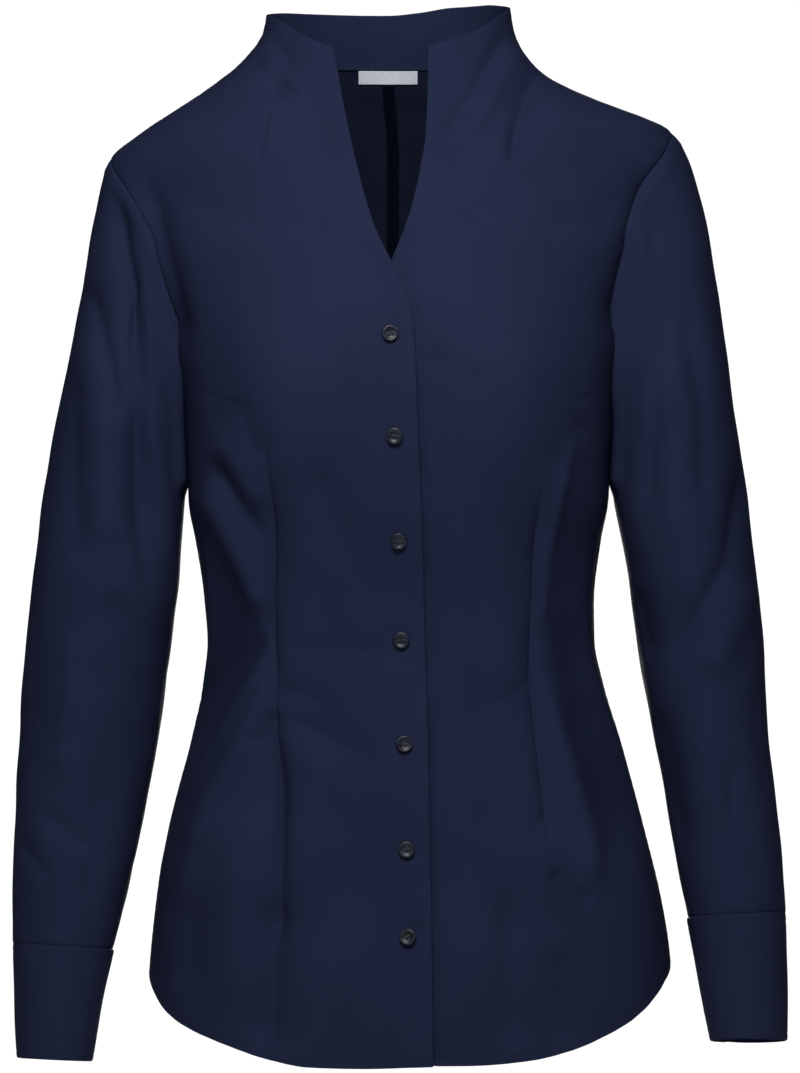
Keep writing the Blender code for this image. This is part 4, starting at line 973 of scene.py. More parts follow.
NAVY_POPLIN = poplin("navy_poplin", (0.0032, 0.0044, 0.0108), (0.0041, 0.0054, 0.0130))
# The inner faces of panels and sleeves: the same poplin painted darker, as painted shade inside the
# hollow blouse.
NAVY_INSIDE_SHADE = poplin(
    "navy_poplin_inside_painted_shade", (0.0016, 0.0020, 0.0048), (0.0022, 0.0027, 0.0063), INSIDE_ROUGH
)
# The felled strip inside the back: poplin painted near-black, as painted shade on the doubled strip.
NAVY_FELLED_SHADE = poplin(
    "navy_poplin_felled_painted_shade", (0.0002, 0.0004, 0.0014), (0.0004, 0.0007, 0.0022), INSIDE_ROUGH
)
NAVY_THREAD = sewing_thread("navy_thread", (0.0016, 0.0022, 0.0062), (0.0034, 0.0044, 0.0112))
# thread for the felled strip, painted near-black as painted shade
FELLING_THREAD_SHADE = sewing_thread("felling_thread_painted_shade", (0.0003, 0.0004, 0.0011), (0.0007, 0.0009, 0.0022))
BUTTON_THREAD = sewing_thread("button_thread", (0.0045, 0.0042, 0.0058), (0.0125, 0.0120, 0.0155))
HORN = polished_horn("smoky_horn", (0.0011, 0.0013, 0.0027), (0.0062, 0.0072, 0.0125))
RIBBON = satin_ribbon("white_ribbon", (0.115, 0.118, 0.131), (0.143, 0.147, 0.163))


# ---- small sewing effects on a panel -----------------------------------------------------------
def seam_sink(distance, run, seed, depth=0.55, pucker=0.22):
    """How far cloth sinks beside a seam: depth e^(-d / 1.6), and puckers along the run, of uneven
    length, that fade as pucker e^(-d / 5)."""
    chance = np.random.default_rng(seed)
    a, b = chance.uniform(0, 6, 2)
    gather = np.sin(run / 1.25 + a + 1.4 * np.sin(run / 9.0 + b))
    return depth * np.exp(-distance / 1.6) + pucker * gather * np.exp(-distance / 5.0)


def doubling(inside, over):
    """Thickness of cloth that is doubled where inside is past 0, over a soft step."""
    return SINGLE + (DOUBLED - SINGLE) * ease(inside / over)


def row_distances(outer):
    """Distance of each point along its row from the first column, and from the last."""
    steps = np.linalg.norm(np.diff(outer, axis=1), axis=-1)
    gone = np.concatenate([np.zeros((len(outer), 1)), np.cumsum(steps, axis=1)], axis=1)
    return gone, gone[:, -1:] - gone


def hem_effects(outer, z, hem_height):
    """Thickness of the turned hem, and its stitched groove with a slight ripple along it."""
    above = z - hem_height
    thick = doubling(HEM_TURN + 0.4 - above, 0.8)
    run = outer[..., 0]
    groove = 0.22 * np.exp(-(((above - HEM_STITCH) / 0.7) ** 2))
    ripple = 0.16 * np.sin(run / 1.9 + 1.2 * np.sin(run / 14.0)) * np.exp(-above / 9.0)
    return thick, groove + ripple


def finish_panel(turn, z, hem, shares, first_edge, seed):
    """A body panel: the body's surface with its seams sunk, hem turned, and front edge doubled.
    first_edge is 'fold' for a front's own edge or 'seam' for the centre back."""
    outer, out = body(turn, z), body_normal(turn, z)
    from_first, from_last = row_distances(outer)
    hem_height = read(hem, "height", shares)
    thick, sunk = hem_effects(outer, z, hem_height)
    sunk = sunk + seam_sink(from_last, z, seed)
    if first_edge == "seam":
        sunk = sunk + seam_sink(from_first, z, seed + 1, 0.5, 0.16)
    else:
        thick = np.maximum(thick, doubling(FOLDED_EDGE - from_first, 2.0))
    return outer - out * sunk[..., None], out, thick, (from_first, from_last)


# ---- fronts and backs --------------------------------------------------------------------------
FRONT_COLUMNS = 116
BACK_COLUMNS = 92


def front_grid(side, shoulder, edge, hem, top, dart):
    """Angles and heights of a front's points, from its own edge to the side, and their shares of
    the way."""

    def ends(height):
        start = turn_at_x(read(FRONT_EDGES, edge, height), height)
        return start, side * turn_at_depth(-side_depth(shoulder, "front", height), height)

    flat = np.linspace(0, 1, FRONT_COLUMNS + 1)
    centre = panel_heights(shoulder, hem, top, flat)[:, len(flat) // 3][:, None]
    start, end = ends(centre)
    turn = near_dart(start, end, turn_at_x(read(dart, "x", centre), centre), FRONT_COLUMNS)
    shares = (turn - start) / (end - start)
    z = panel_heights_at(shoulder, hem, top, shares)
    start, end = ends(z)
    return start + (end - start) * shares, z, shares


def panel_heights_at(shoulder, hem, top, shares):
    """The same heights as panel_heights, where the share of each point differs from row to row."""
    flat = np.linspace(0, 1, 400)
    rows = panel_heights(shoulder, hem, top, flat)
    return np.stack([np.interp(share, flat, row) for share, row in zip(shares, rows)])


def back_grid(side, shoulder):
    """Angles and heights of a back's points, from the centre-back seam to the side, and their
    shares of the way."""
    top = NECK_SEAM - SEAM_GAP / 2

    def ends(height):
        half = read(BODY, "right", height) - read(BODY, "middle", height)
        start = math.pi - SEAM_GAP / 2 / half
        return start, math.pi - turn_at_depth(side_depth(shoulder, "back", height), height)

    flat = np.linspace(0, 1, BACK_COLUMNS + 1)
    centre = panel_heights(shoulder, BACK_HEM, top, flat)[:, len(flat) // 3][:, None]
    start, end = ends(centre)
    dart = math.pi - np.abs(turn_at_x(read(BACK_DART, "x", centre), centre))
    turn = near_dart(start, end, dart, BACK_COLUMNS)
    shares = (turn - start) / (end - start)
    z = panel_heights_at(shoulder, BACK_HEM, top, shares)
    start, end = ends(z)
    return side * (start + (end - start) * shares), z, shares


def panel_shell(name, outer, out, thick):
    """A panel's shell from its outer face and thickness, its inner face in painted shade."""
    inner = outer - out * thick[..., None]
    return shell(name, outer, inner, NAVY_POPLIN, inside_shade=NAVY_INSIDE_SHADE)


def make_front_right():
    """The upper front: its folded edge carries the buttonholes and stands LAP_PROUD above the under
    one, sloping back to the chest over 12 mm."""
    turn, z, shares = front_grid(
        -1, RIGHT_SHOULDER, "upper", RIGHT_HEM, COLLAR_RIGHT_TOP, RIGHT_DART
    )
    outer, out, thick, gone = finish_panel(turn, z, RIGHT_HEM, shares, "fold", 11)
    proud = LAP_PROUD * ease((16.0 - gone[0]) / 12.0) * ease((-40.0 - z) / 60.0)
    outer = outer + out * proud[..., None]
    return panel_shell("front_right_cloth", outer, out, thick), outer, out


def make_front_left():
    """The under front: beside the upper edge it dips inside by LAP_STEP, to pass beneath it, and
    right along the edge by LAP_GROOVE e^(-d / 2.5) more."""
    turn, z, shares = front_grid(1, LEFT_SHOULDER, "under", LEFT_HEM, COLLAR_LEFT_TOP, LEFT_DART)
    outer, out, thick, _ = finish_panel(turn, z, LEFT_HEM, shares, "fold", 23)
    beyond = outer[..., 0] - read(FRONT_EDGES, "upper", z)
    crossed = ease((LAP_TOP - z) / 25.0)
    dip = LAP_STEP * ease(1 - (beyond - 4.0) / LAP_RELEASE) * crossed
    dip = dip + LAP_GROOVE * np.exp(-np.abs(beyond) / 2.5) * crossed
    outer = outer - out * dip[..., None]
    return panel_shell("front_left_cloth", outer, out, thick), outer, out


def make_back(name, side, shoulder, seed):
    """A back, from the centre-back seam to the side."""
    turn, z, shares = back_grid(side, shoulder)
    outer, out, thick, _ = finish_panel(turn, z, BACK_HEM, shares, "seam", seed)
    return panel_shell(name, outer, out, thick), outer, out


def hem_run(outer, out):
    """The line of the hem's stitching: the row HEM_STITCH above the edge."""
    row = HEM_TURN_ROWS.index(HEM_STITCH)
    return outer[row] + out[row] * STITCH_SINK, out[row]


# ---- collar, facing, seam strip, label ---------------------------------------------------------
COLLAR_COLUMNS = 150
COLLAR_BACK_ROWS = 26
FACING_DROP = 0.5  # the facing ends this far below the collar's edge
FACING_GAP = 2.6  # and this far from the side seams
STRIP_THICK = 0.9
LABEL_COLUMNS = 60


def collar_grid(top_drop, side_gap):
    """Angles and heights round the back of the collar, from the right side to the left."""
    shares = np.linspace(0, 1, COLLAR_COLUMNS + 1)
    low = NECK_SEAM + SEAM_GAP / 2
    top = read(COLLAR_BACK_TOP, "height", shares) - top_drop
    z = low + (top - low) * np.linspace(0, 1, COLLAR_BACK_ROWS + 1)[:, None]
    gap = math.pi - turn_at_depth(side_gap, z)
    return -gap + (-2 * math.pi + 2 * gap) * shares, z


def make_collar_back():
    """The collar's outer layer round the back, sunk at its neck seam and its two side seams."""
    turn, z = collar_grid(0.0, SEAM_GAP / 2)
    outer, out = body(turn, z), body_normal(turn, z)
    first, last = row_distances(outer)
    sunk = seam_sink(np.minimum(first, last), z, 31, 0.45, 0.1)
    sunk = sunk + seam_sink(z - z[:1], outer[..., 0], 32, 0.45, 0.12)
    outer = outer - out * sunk[..., None]
    return shell("collar_back_cloth", outer, outer - out * SINGLE, NAVY_POPLIN)


def make_collar_facing():
    """The collar's inner layer, rolled up to just below the outer one's edge: it sags away from it
    by 0.9 e^-(((h - 17) / 9)^2), uneven round the neck, and rolls in at its foot."""
    turn, z = collar_grid(FACING_DROP, FACING_GAP)
    out = body_normal(turn, z)
    low = z - z[:1]
    sag = 0.9 * np.exp(-(((low - 17) / 9.0) ** 2)) * (0.6 + 0.4 * np.sin(turn * 3.0 + 0.6))
    roll = 0.5 * np.exp(-low / 2.0)
    outer = body(turn, z) - out * (SINGLE + 0.35 + sag + roll)[..., None]
    return shell("collar_facing_cloth", outer, outer - out * SINGLE, NAVY_POPLIN)


def inside_patch(half_width, z, columns):
    """Points of the body's surface in a strip centred on the centre back, and their outward ways:
    the turn from the centre is arcsin(share^(blunt / 2)), so that the strip keeps its width."""
    width = half_width / (read(BODY, "right", z) - read(BODY, "middle", z))
    share = width[:, None] * np.linspace(-1, 1, columns + 1)
    blunt = read(BODY, "square_back", z)[:, None]
    turn = math.pi + np.sign(share) * np.arcsin(np.abs(share) ** (blunt / 2))
    z = np.repeat(z[:, None], columns + 1, axis=1)
    return body(turn, z), body_normal(turn, z)


def make_seam_strip():
    """The centre-back seam felled flat inside: a doubled strip stitched down along both edges; strip
    and thread are painted near-black, as painted shade.
    """
    z = np.linspace(BACK_HEM[0].height + 1.4 * HEM_TURN, LABEL_TOP - LABEL_HEIGHT - 0.6, 320)
    grid, out = inside_patch(STRIP_WIDTH / 2, z, 10)
    across = np.linspace(-1, 1, 11)
    lift = SINGLE + 0.3 + 0.25 * np.exp(-(((np.abs(across) - 0.86) / 0.1) ** 2))
    waver = 0.06 * np.sin(z / 1.7 + np.sin(z / 11.0))[:, None]
    outer = grid - out * (lift + waver)[..., None]
    inner = outer - out * STRIP_THICK
    made = shell("back_seam_felling", outer, inner, NAVY_FELLED_SHADE)
    runs = [(inner[::2, column], -out[::2, column]) for column in (1, -2)]
    return made, stitching("felling_stitches", runs, FELLING_THREAD_SHADE)


def make_label():
    """The blank woven label: hung from the neck seam, its two ends turned under and tacked down."""
    z = np.linspace(LABEL_TOP - LABEL_HEIGHT, LABEL_TOP, 15)
    grid, out = inside_patch(LABEL_WIDTH / 2, z, LABEL_COLUMNS)
    share = np.linspace(-1, 1, LABEL_COLUMNS + 1)
    curl = 0.5 * ease((LABEL_TOP - z) / LABEL_HEIGHT)[:, None] * (0.6 + 0.4 * np.cos(share * 5.0))
    turned_ends = 0.18 * ease((np.abs(share) - 0.93) / 0.03)
    outer = grid - out * (SINGLE + 0.75 + curl)[..., None]
    inner = outer - out * (0.38 + turned_ends)[:, None]
    made = shell("label_ribbon", outer, inner, RIBBON, bulge=0.1)
    tacks = [(inner[1:-1, column], -out[1:-1, column]) for column in (2, LABEL_COLUMNS - 2)]
    return made, stitching("label_tacks", tacks, RIBBON)


# ---- sleeves -----------------------------------------------------------------------------------
def ring_value(table, column, at):
    """One column of a sleeve's rings, read between them."""
    return smooth(np.arange(len(table)), [getattr(row, column) for row in table], at)


def oval(outer_x, outer_z, inner_x, inner_z, middle, depth, tilt, turn):
    """A ring of a sleeve: turn 0 is the outer line, 90 degrees the front, 180 the inner line."""
    c, s = np.cos(turn), np.sin(turn)
    x = (outer_x + inner_x) / 2 + (outer_x - inner_x) / 2 * c
    z = (outer_z + inner_z) / 2 + (outer_z - inner_z) / 2 * c
    y = middle - depth * s
    return np.stack(np.broadcast_arrays(x, y, z + tilt * depth * s), axis=-1)


def press_on_body(points, side):
    """Lays a sleeve's points against the body: those inside it come out, and above the place where
    the two part those nearly touching lean on it."""
    x, y, z = np.moveaxis(points, -1, 0)
    turn = side * np.where(y < 0, turn_at_depth(y, z), math.pi - turn_at_depth(y, z))
    reach = body(turn, z)[..., 0] * side
    clear = SLEEVE_CLEAR + 6.0 * ease((-282.0 - z) / 60.0)
    gap = np.maximum(side * x - reach, 0.0)
    leaning = ease((z - PARTING) / 14.0) * ease((12.0 - gap) / 9.0)
    gap = gap * (1 - leaning)
    near = z > LOWEST_PRESS
    points = points.copy()
    least = np.where(z > PARTING, SLEEVE_CLEAR, np.minimum(clear, gap + 1.0))
    points[..., 0] = np.where(near, side * (reach + np.maximum(gap, least)), x)
    return points


ARM_HALF = 74
SLEEVE_RINGS = 200
HEAD_RIDGE = 0.4
PLEAT_DEPTH = 2.2
PLEAT_PLACES = (-118.0, -88.0)  # degrees round the sleeve


def armhole_loop(side, shoulder):
    """Points of the armhole: shoulder point, down the front, underarm, up the back."""
    rising = armhole_heights(shoulder, ARM_HALF)
    front = -np.maximum(side_depth(shoulder, "front", rising), SEAM_GAP / 2)
    back = np.maximum(side_depth(shoulder, "back", rising), SEAM_GAP / 2)
    front_turn = side * turn_at_depth(front, rising)
    back_turn = side * (math.pi - turn_at_depth(back, rising))
    front_turn[[0, -1]] = side * math.pi / 2
    turns = np.concatenate([front_turn[::-1], back_turn[1:-1]])
    heights = np.concatenate([rising[::-1], rising[1:-1]])
    return body(turns, heights), body_normal(turns, heights)


def grid_normals(grid, side):
    """Outward directions over a tube's grid: the cross of its tangents round and along."""
    round_it = np.roll(grid, -1, axis=1) - np.roll(grid, 1, axis=1)
    along = np.gradient(grid, axis=0)
    return unit(np.cross(round_it, along)) * side


def sleeve_grid(side, shoulder, table):
    """Outer face of a sleeve: the armhole, then ovals down to the cuff that take on its shape less
    and less as they leave it, and press on the body below the underarm."""
    loop, loop_out = armhole_loop(side, shoulder)
    half_way = len(loop) // 2
    top, low = loop[0], loop[half_way]
    axis, centre = (top - low) / 2, (top + low) / 2
    normal = unit(np.cross(axis, [0.0, 1.0, 0.0])) * -side
    cosine = (loop - centre) @ axis / (axis @ axis)
    sign = np.where(np.arange(len(loop)) <= half_way, 1.0, -1.0)
    turn = np.arccos(np.clip(cosine, -1, 1)) * sign
    bulge = (loop - centre) @ normal
    at = np.linspace(0, len(table) - 1, SLEEVE_RINGS)
    values = {name: ring_value(table, name, at)[:, None] for name in Ring._fields}
    grid = oval(turn=turn[None, :], **values)
    width_x = values["outer_x"] - values["inner_x"]
    width_z = values["outer_z"] - values["inner_z"]
    across = unit(np.stack([-width_z, 0 * width_x, width_x], -1)) * -side
    fade = ease(1 - at / 5.0)[:, None]
    grid[..., 1] = grid[..., 1] + (loop[:, 1] - grid[..., 1]) * fade
    grid = grid + across * (bulge * fade)[..., None]
    low_half = cosine < -0.2
    grid[:, low_half] = press_on_body(grid[:, low_half], side)
    between = np.array([0.3, 0.65])[:, None, None]
    head = loop[None] * (1 - between) + grid[:1] * between
    grid = np.concatenate([loop[None], head, grid])
    return grid, turn, loop_out, np.concatenate([[0, 0, 0], at])


def sleeve_sinks(grid, turn, at, side, creases, seed):
    """How far a sleeve's points sink: the front creases on the front half, the others behind, slow
    waves, puckers at the head and the cuff, a ridge below the head and two pleats into the cuff."""
    x, z = grid[..., 0], grid[..., 2]
    facing = np.sin(turn)[None, :]
    run = turn[None, :] * ARM_RADIUS
    sunk = relief(creases, x, z) * ease(facing * 2.2)
    sunk = sunk + relief(SLEEVE_BACK_CREASES, x * side, z) * ease(-facing * 2.2)
    free = ease((np.cos(turn)[None, :] + 1.0) / 0.25 + (LOWEST_PRESS - z) / 40.0)
    sunk = sunk * free
    sunk = sunk - slow_waves(run, z, seed, 0.5) * ease(at / 2.0)[:, None] * free
    along = np.linalg.norm(np.diff(grid, axis=0), axis=-1)
    gone = np.concatenate([np.zeros((1, grid.shape[1])), np.cumsum(along, axis=0)])
    left = gone[-1:] - gone
    sunk = sunk + seam_sink(gone, run, seed + 1, 0.35, 0.16)
    sunk = sunk + seam_sink(left, run, seed + 2, 0.55, 0.28)
    sunk = sunk - HEAD_RIDGE * np.exp(-(((gone - 7.0) / 4.5) ** 2))
    pleats = sum(np.exp(-(((np.degrees(turn) - place) / 9.0) ** 2)) for place in PLEAT_PLACES)
    sunk = sunk + PLEAT_DEPTH * pleats[None, :] * np.exp(-left / 26.0) * ease(left / 3.0)
    sunk[0] = SEAM_GAP
    return sunk


def make_sleeve(name, side, shoulder, table, creases, seed):
    """A set-in sleeve: it starts a seam's gap outside the armhole, sinks along its outward
    directions, and two rings turned into the seam close its head."""
    grid, turn, loop_out, at = sleeve_grid(side, shoulder, table)
    out = grid_normals(grid, side)
    grid = grid - out * sleeve_sinks(grid, turn, at, side, creases, seed)[..., None]
    ahead = np.roll(grid[0], -1, axis=0) - np.roll(grid[0], 1, axis=0)
    into = unit(np.cross(ahead, loop_out))
    into = into * np.sign(((grid[0].mean(axis=0) - grid[0]) * into).sum())
    turned_back = np.clip(-2.5 * (out[0] * into).sum(axis=1), 0, 1)[:, None]
    out[0] = unit(loop_out + out[0] * turned_back)
    tucked = grid[0] - into * 1.6 - loop_out * 0.75
    turned = grid[0] + into * 0.15 - loop_out * 0.62
    grid = np.concatenate([tucked[None], turned[None], grid])
    out = np.concatenate([out[:1], out[:1], out])
    # the sleeve's inner face takes the darker poplin: painted shade
    return shell(name, grid, grid - out * SINGLE, NAVY_POPLIN, ring=True, inside_shade=NAVY_INSIDE_SHADE)


# ---- cuffs -------------------------------------------------------------------------------------
CUFF_COLUMNS = 150
CUFF_ROWS = 54
CUFF_STEP = 2.6  # the under end lies this far inside the lapping one


def cuff_grid(table, turns, at):
    """Points of the wrist's oval at turns and places down the cuff, and their outward ways."""
    values = {name: ring_value(table, name, at)[:, None] for name in Ring._fields}
    points = oval(turn=turns[None, :], **values)
    ahead = oval(turn=turns[None, :] + 0.01, **values) - oval(turn=turns[None, :] - 0.01, **values)
    down = np.gradient(points, axis=0)
    out = unit(np.cross(ahead, down))
    outward = np.sign(((points - points.mean(axis=(0, 1))) * out).sum())
    return points, out * outward


def cuff_surface(table):
    """A cuff's outer face: the oval, drawn in by CUFF_STEP under its own lapping end, and sunk along
    the stitching by 0.25 e^-(((d - CUFF_STITCH) / 0.8)^2), with rounded edges."""
    turns = np.radians(np.linspace(CUFF_START, CUFF_START + 360 + CUFF_LAP, CUFF_COLUMNS + 1))
    first = np.array([0, 0.25, 0.6, 1.2])
    middle = np.linspace(2.2, CUFF_ROWS - 2.2, CUFF_ROWS - 6)
    rows = np.concatenate([first, middle, CUFF_ROWS - first[::-1]])
    at = rows / CUFF_ROWS * (len(table) - 1)
    points, out = cuff_grid(table, turns, at)
    past = np.degrees(turns) - CUFF_START
    inset = CUFF_STEP * (1 - ease((past - CUFF_LAP - 4) / 40.0))
    points = points + out * (0.4 - inset)[None, :, None]
    length = np.linalg.norm(np.diff(points, axis=0), axis=-1).sum(axis=0).mean()
    down = rows / CUFF_ROWS * length
    run = turns[None, :] * WRIST_RADIUS
    edge = np.minimum(down, length - down)[:, None]
    groove = 0.25 * np.exp(-(((edge - CUFF_STITCH) / 0.8) ** 2))
    soft = 0.10 * np.sin(run / 2.1 + np.sin(run / 15.0)) * np.exp(-edge / 7.0)
    bend = slow_waves(run, down[:, None], 41, 0.22)
    round_over = 0.5 * np.exp(-edge / 0.9)
    return points - out * (groove + soft + round_over - bend)[..., None], out, turns, down, length


def make_cuff(name, table):
    """A cuff band that laps over its own end, stitched CUFF_STITCH inside its free edges."""
    outer, out, turns, down, length = cuff_surface(table)
    made = shell(name, outer, outer - out * CUFF_WALL, NAVY_POPLIN, bulge=0.5)
    low = int(np.argmin(np.abs(down - (length - CUFF_STITCH))))
    high = int(np.argmin(np.abs(down - CUFF_STITCH)))
    start = int(np.argmin(np.abs(np.degrees(turns) - CUFF_START - CUFF_LAP - 4)))
    last = len(turns) - 1 - int(round(CUFF_STITCH / WRIST_RADIUS / (turns[1] - turns[0])))
    runs = [
        (outer[low, start:last], out[low, start:last]),
        (outer[high, start:last], out[high, start:last]),
        (outer[high:low, last], out[high:low, last]),
    ]
    return made, stitching(name + "_stitches", runs, NAVY_THREAD), (outer, out, turns, down, length)


def make_placket(name, table):
    """The strip that binds the sleeve's slit, on the back of the forearm above the cuff."""
    turn = math.radians(CUFF_START + 8)
    at = np.linspace(len(table) - 1 - 1.75, len(table) - 1 - 0.12, 60)
    values = {field: ring_value(table, field, at)[:, None] for field in Ring._fields}
    across = np.linspace(-1, 1, 15)
    turns = turn + PLACKET_WIDTH / 2 / values["depth"] * across
    points = oval(turn=turns, **values)
    ahead = oval(turn=turns + 0.01, **values) - oval(turn=turns - 0.01, **values)
    out = unit(np.cross(ahead, np.gradient(points, axis=0)))
    out = out * np.sign(out[..., 1].sum())
    height = 1.5 - 0.35 * np.exp(-(((np.abs(across) - 0.8) / 0.1) ** 2))
    outer = points + out * height[None, :, None]
    made = shell(name, outer, points + out * 0.5, NAVY_POPLIN)
    runs = [(outer[2:-2, 1], out[2:-2, 1]), (outer[2:-2, -2], out[2:-2, -2])]
    return made, stitching(name + "_stitches", runs, NAVY_THREAD)


# ---- buttons -----------------------------------------------------------------------------------
def button_height(radius, angle):
    """Height of a button's face: a raised round rim, a dish inside it, and four sunk thread holes."""
    r, t = BUTTON_RADIUS, BUTTON_THICK
    share = radius / r
    face = smooth(
        [0, 0.45, 0.6, 0.72, 0.82, 0.92, 0.975, 1.0],
        [0.70 * t, 0.72 * t, 0.80 * t, 0.96 * t, t, 0.93 * t, 0.76 * t, 0.5 * t],
        share,
    )
    x, y = radius * np.cos(angle), radius * np.sin(angle)
    for side in (-1, 1):
        for end in (-1, 1):
            away = np.hypot(x - side * HOLE_PLACE, y - end * HOLE_PLACE)
            face = face - 1.3 * ease((0.78 - away) / 0.34)
    return face


def button_ways(out, spin, tilt):
    """A button's own ways across, up and out, once it is tilted and turned."""
    upright = np.array([0.0, 0.0, 1.0])
    across = unit(np.cross(upright, out))
    up = np.cross(out, across)
    lean, nod = np.radians(tilt)
    out = unit(out + across * math.tan(lean) + up * math.tan(nod))
    across = unit(np.cross(upright, out))
    up = np.cross(out, across)
    c, s = math.cos(math.radians(spin)), math.sin(math.radians(spin))
    return across * c + up * s, up * c - across * s, out


FACE_RADII = np.concatenate([np.linspace(0.02, 0.62, 21), np.linspace(0.65, 0.95, 11), [0.98, 1.0]])
BACK_RADII = np.array([0.985, 0.93, 0.8, 0.5, 0.02])
BACK_HEIGHTS = np.array([0.26, 0.14, 0.06, 0.0, 0.0])  # shares of the thickness
BUTTON_SPOKES = 72
PLIES = (-0.32, 0.0, 0.32)


def button_body(name, to_place):
    """The turned body: rings over its face and back, each closed by a fan at its hub."""
    angle = np.linspace(0, 2 * math.pi, BUTTON_SPOKES, endpoint=False)
    radius = FACE_RADII * BUTTON_RADIUS
    face = button_height(radius[:, None], angle[None, :])
    back = np.repeat((BACK_HEIGHTS * BUTTON_THICK)[:, None], BUTTON_SPOKES, axis=1)
    height = np.concatenate([face, back])
    radius = np.concatenate([radius, BACK_RADII * BUTTON_RADIUS])
    x = radius[:, None] * np.cos(angle)
    y = radius[:, None] * np.sin(angle)
    points = to_place(x, y, height)
    number = np.arange(height.size).reshape(height.shape)
    ahead = np.roll(number, -1, axis=1)
    quads = np.stack([number[:-1], number[1:], ahead[1:], ahead[:-1]], axis=-1).reshape(-1, 4)
    flat_points = points.reshape(-1, 3)
    hubs = [flat_points[number[0]].mean(axis=0), flat_points[number[-1]].mean(axis=0)]
    spokes = np.arange(0, BUTTON_SPOKES, 2)
    fans = []
    for ring, hub, way in ((number[0], height.size, 1), (number[-1], height.size + 1, -1)):
        rim = np.stack([ring[spokes], ring[spokes + 1], ring[(spokes + 2) % BUTTON_SPOKES]], axis=1)
        fans.append(np.concatenate([rim[:, ::way], np.full((len(spokes), 1), hub)], axis=1))
    quads = np.concatenate([quads, *fans])
    local = np.concatenate([np.stack([x, y], -1).reshape(-1, 2), np.zeros((2, 2))])
    return put_mesh(name, np.concatenate([flat_points, hubs]), quads, local[quads], HORN)


def make_button(name, place, out, spin, tilt):
    """A polished four-hole button on its thread shank, sewn with two upright bars of thread."""
    across, up, out = button_ways(out, spin, tilt)

    def to_place(x, y, h):
        return place + x[..., None] * across + y[..., None] * up + h[..., None] * out

    made = button_body(name, to_place)
    bars = np.array([
        [side * HOLE_PLACE + ply, 0.0, 0.74 * BUTTON_THICK + 0.12 * math.cos(ply * 4)]
        for side in (-1, 1)
        for ply in PLIES
    ])  # fmt: skip
    middles = to_place(bars[:, 0], bars[:, 1], bars[:, 2])
    ways = np.repeat(up[None], len(bars), axis=0)
    lifts = np.repeat(out[None], len(bars), axis=0)
    threads = strands(name + "_thread", middles, ways, lifts, 3.2, 0.19, BUTTON_THREAD, bow=0.42)
    turns = np.arange(8) * math.pi / 4
    feet = to_place(0.85 * np.cos(turns), 0.85 * np.sin(turns), np.full(8, -0.5))
    ways = np.repeat(out[None], 8, axis=0)
    lifts = np.repeat(up[None], 8, axis=0)
    stems = strands(name + "_shank", feet, ways, lifts, 2.0, 0.24, BUTTON_THREAD, bow=0.0)
    return made, threads, stems


def make_buttonhole(name, middle, up, out):
    """A worked buttonhole: a narrow oval of close zigzag stitches round a slit. Its height over the
    cloth is 0.34 root(1 - w^2) with ribs every 0.4 mm, less the slit's groove."""
    across = unit(np.cross(up, out))
    v = np.linspace(-1, 1, 61)[:, None]
    w = np.linspace(-1, 1, 19)[None, :]
    half = HOLE_WIDTH / 2 * np.maximum(1 - np.abs(v) ** 7, 0.05) ** 0.5
    swell = 0.34 * np.sqrt(np.maximum(1 - w**2, 0)) * np.maximum(1 - np.abs(v) ** 9, 0.0)
    ridges = 0.05 * np.sin(v * HOLE_LENGTH / 2 / 0.2 * math.pi) * (1 - np.abs(w))
    slit = 0.3 * np.exp(-((w / 0.16) ** 2)) * ease((0.86 - np.abs(v)) / 0.06)
    lift = 0.06 + np.maximum(swell + ridges - slit, 0.0)
    x = w * half
    y = v * HOLE_LENGTH / 2 + 0 * w
    face = middle + x[..., None] * across + y[..., None] * up + lift[..., None] * out
    foot = middle + x[..., None] * across + y[..., None] * up - 0.1 * out
    return shell(name, face, foot, NAVY_THREAD, bulge=0.02)


# ---- making the blouse -------------------------------------------------------------------------
def carried(piece, slot, *nodes):
    """A finished piece rides on the blouse and stands for its nodes; its slot is not used."""
    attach(piece, "root")
    if nodes:
        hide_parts(*nodes)
    return piece


def cloth(piece, cut, slot, *nodes, on=(), held="hung"):
    """A piece of cloth, carried on the blouse; its flat cut is not used."""
    carried(piece, slot, *nodes)
    return piece


def make_body():
    """The two fronts and the two backs, each with its hem's stitching."""
    right, right_outer, right_out = make_front_right()
    left, left_outer, left_out = make_front_left()
    back_right, br_outer, br_out = make_back("back_right_cloth", -1, RIGHT_SHOULDER, 51)
    back_left, bl_outer, bl_out = make_back("back_left_cloth", 1, LEFT_SHOULDER, 63)
    cloth(right, "front", "navy_cloth", "front_right", on=["back_right"])
    cloth(left, "front", "navy_cloth", "front_left", on=["back_left"])
    cloth(back_right, "back", "navy_cloth", "back_right", on=["collar_back"])
    cloth(back_left, "back", "navy_cloth", "back_left", on=["collar_back"])
    for name, outer, out in (
        ("hem_stitches_front_right", right_outer, right_out),
        ("hem_stitches_front_left", left_outer, left_out),
        ("hem_stitches_back_right", br_outer, br_out),
        ("hem_stitches_back_left", bl_outer, bl_out),
    ):
        carried(stitching(name, [hem_run(outer, out)], NAVY_THREAD), "navy_cloth")


def make_neck():
    """The back of the collar, its facing, the felled seam and the label."""
    cloth(make_collar_back(), "collar", "navy_cloth", "collar_back", on=["back_left"])
    cloth(make_collar_facing(), "collar", "navy_cloth", "collar_facing", on=["collar_back"])
    strip, strip_stitches = make_seam_strip()
    cloth(strip, "strip", "navy_inside", "back_seam_strip", on=["back_left"], held="folded")
    carried(strip_stitches, "navy_inside")
    label, tacks = make_label()
    cloth(label, "label", "label_white", "neck_label", on=["collar_facing"])
    carried(tacks, "label_white")


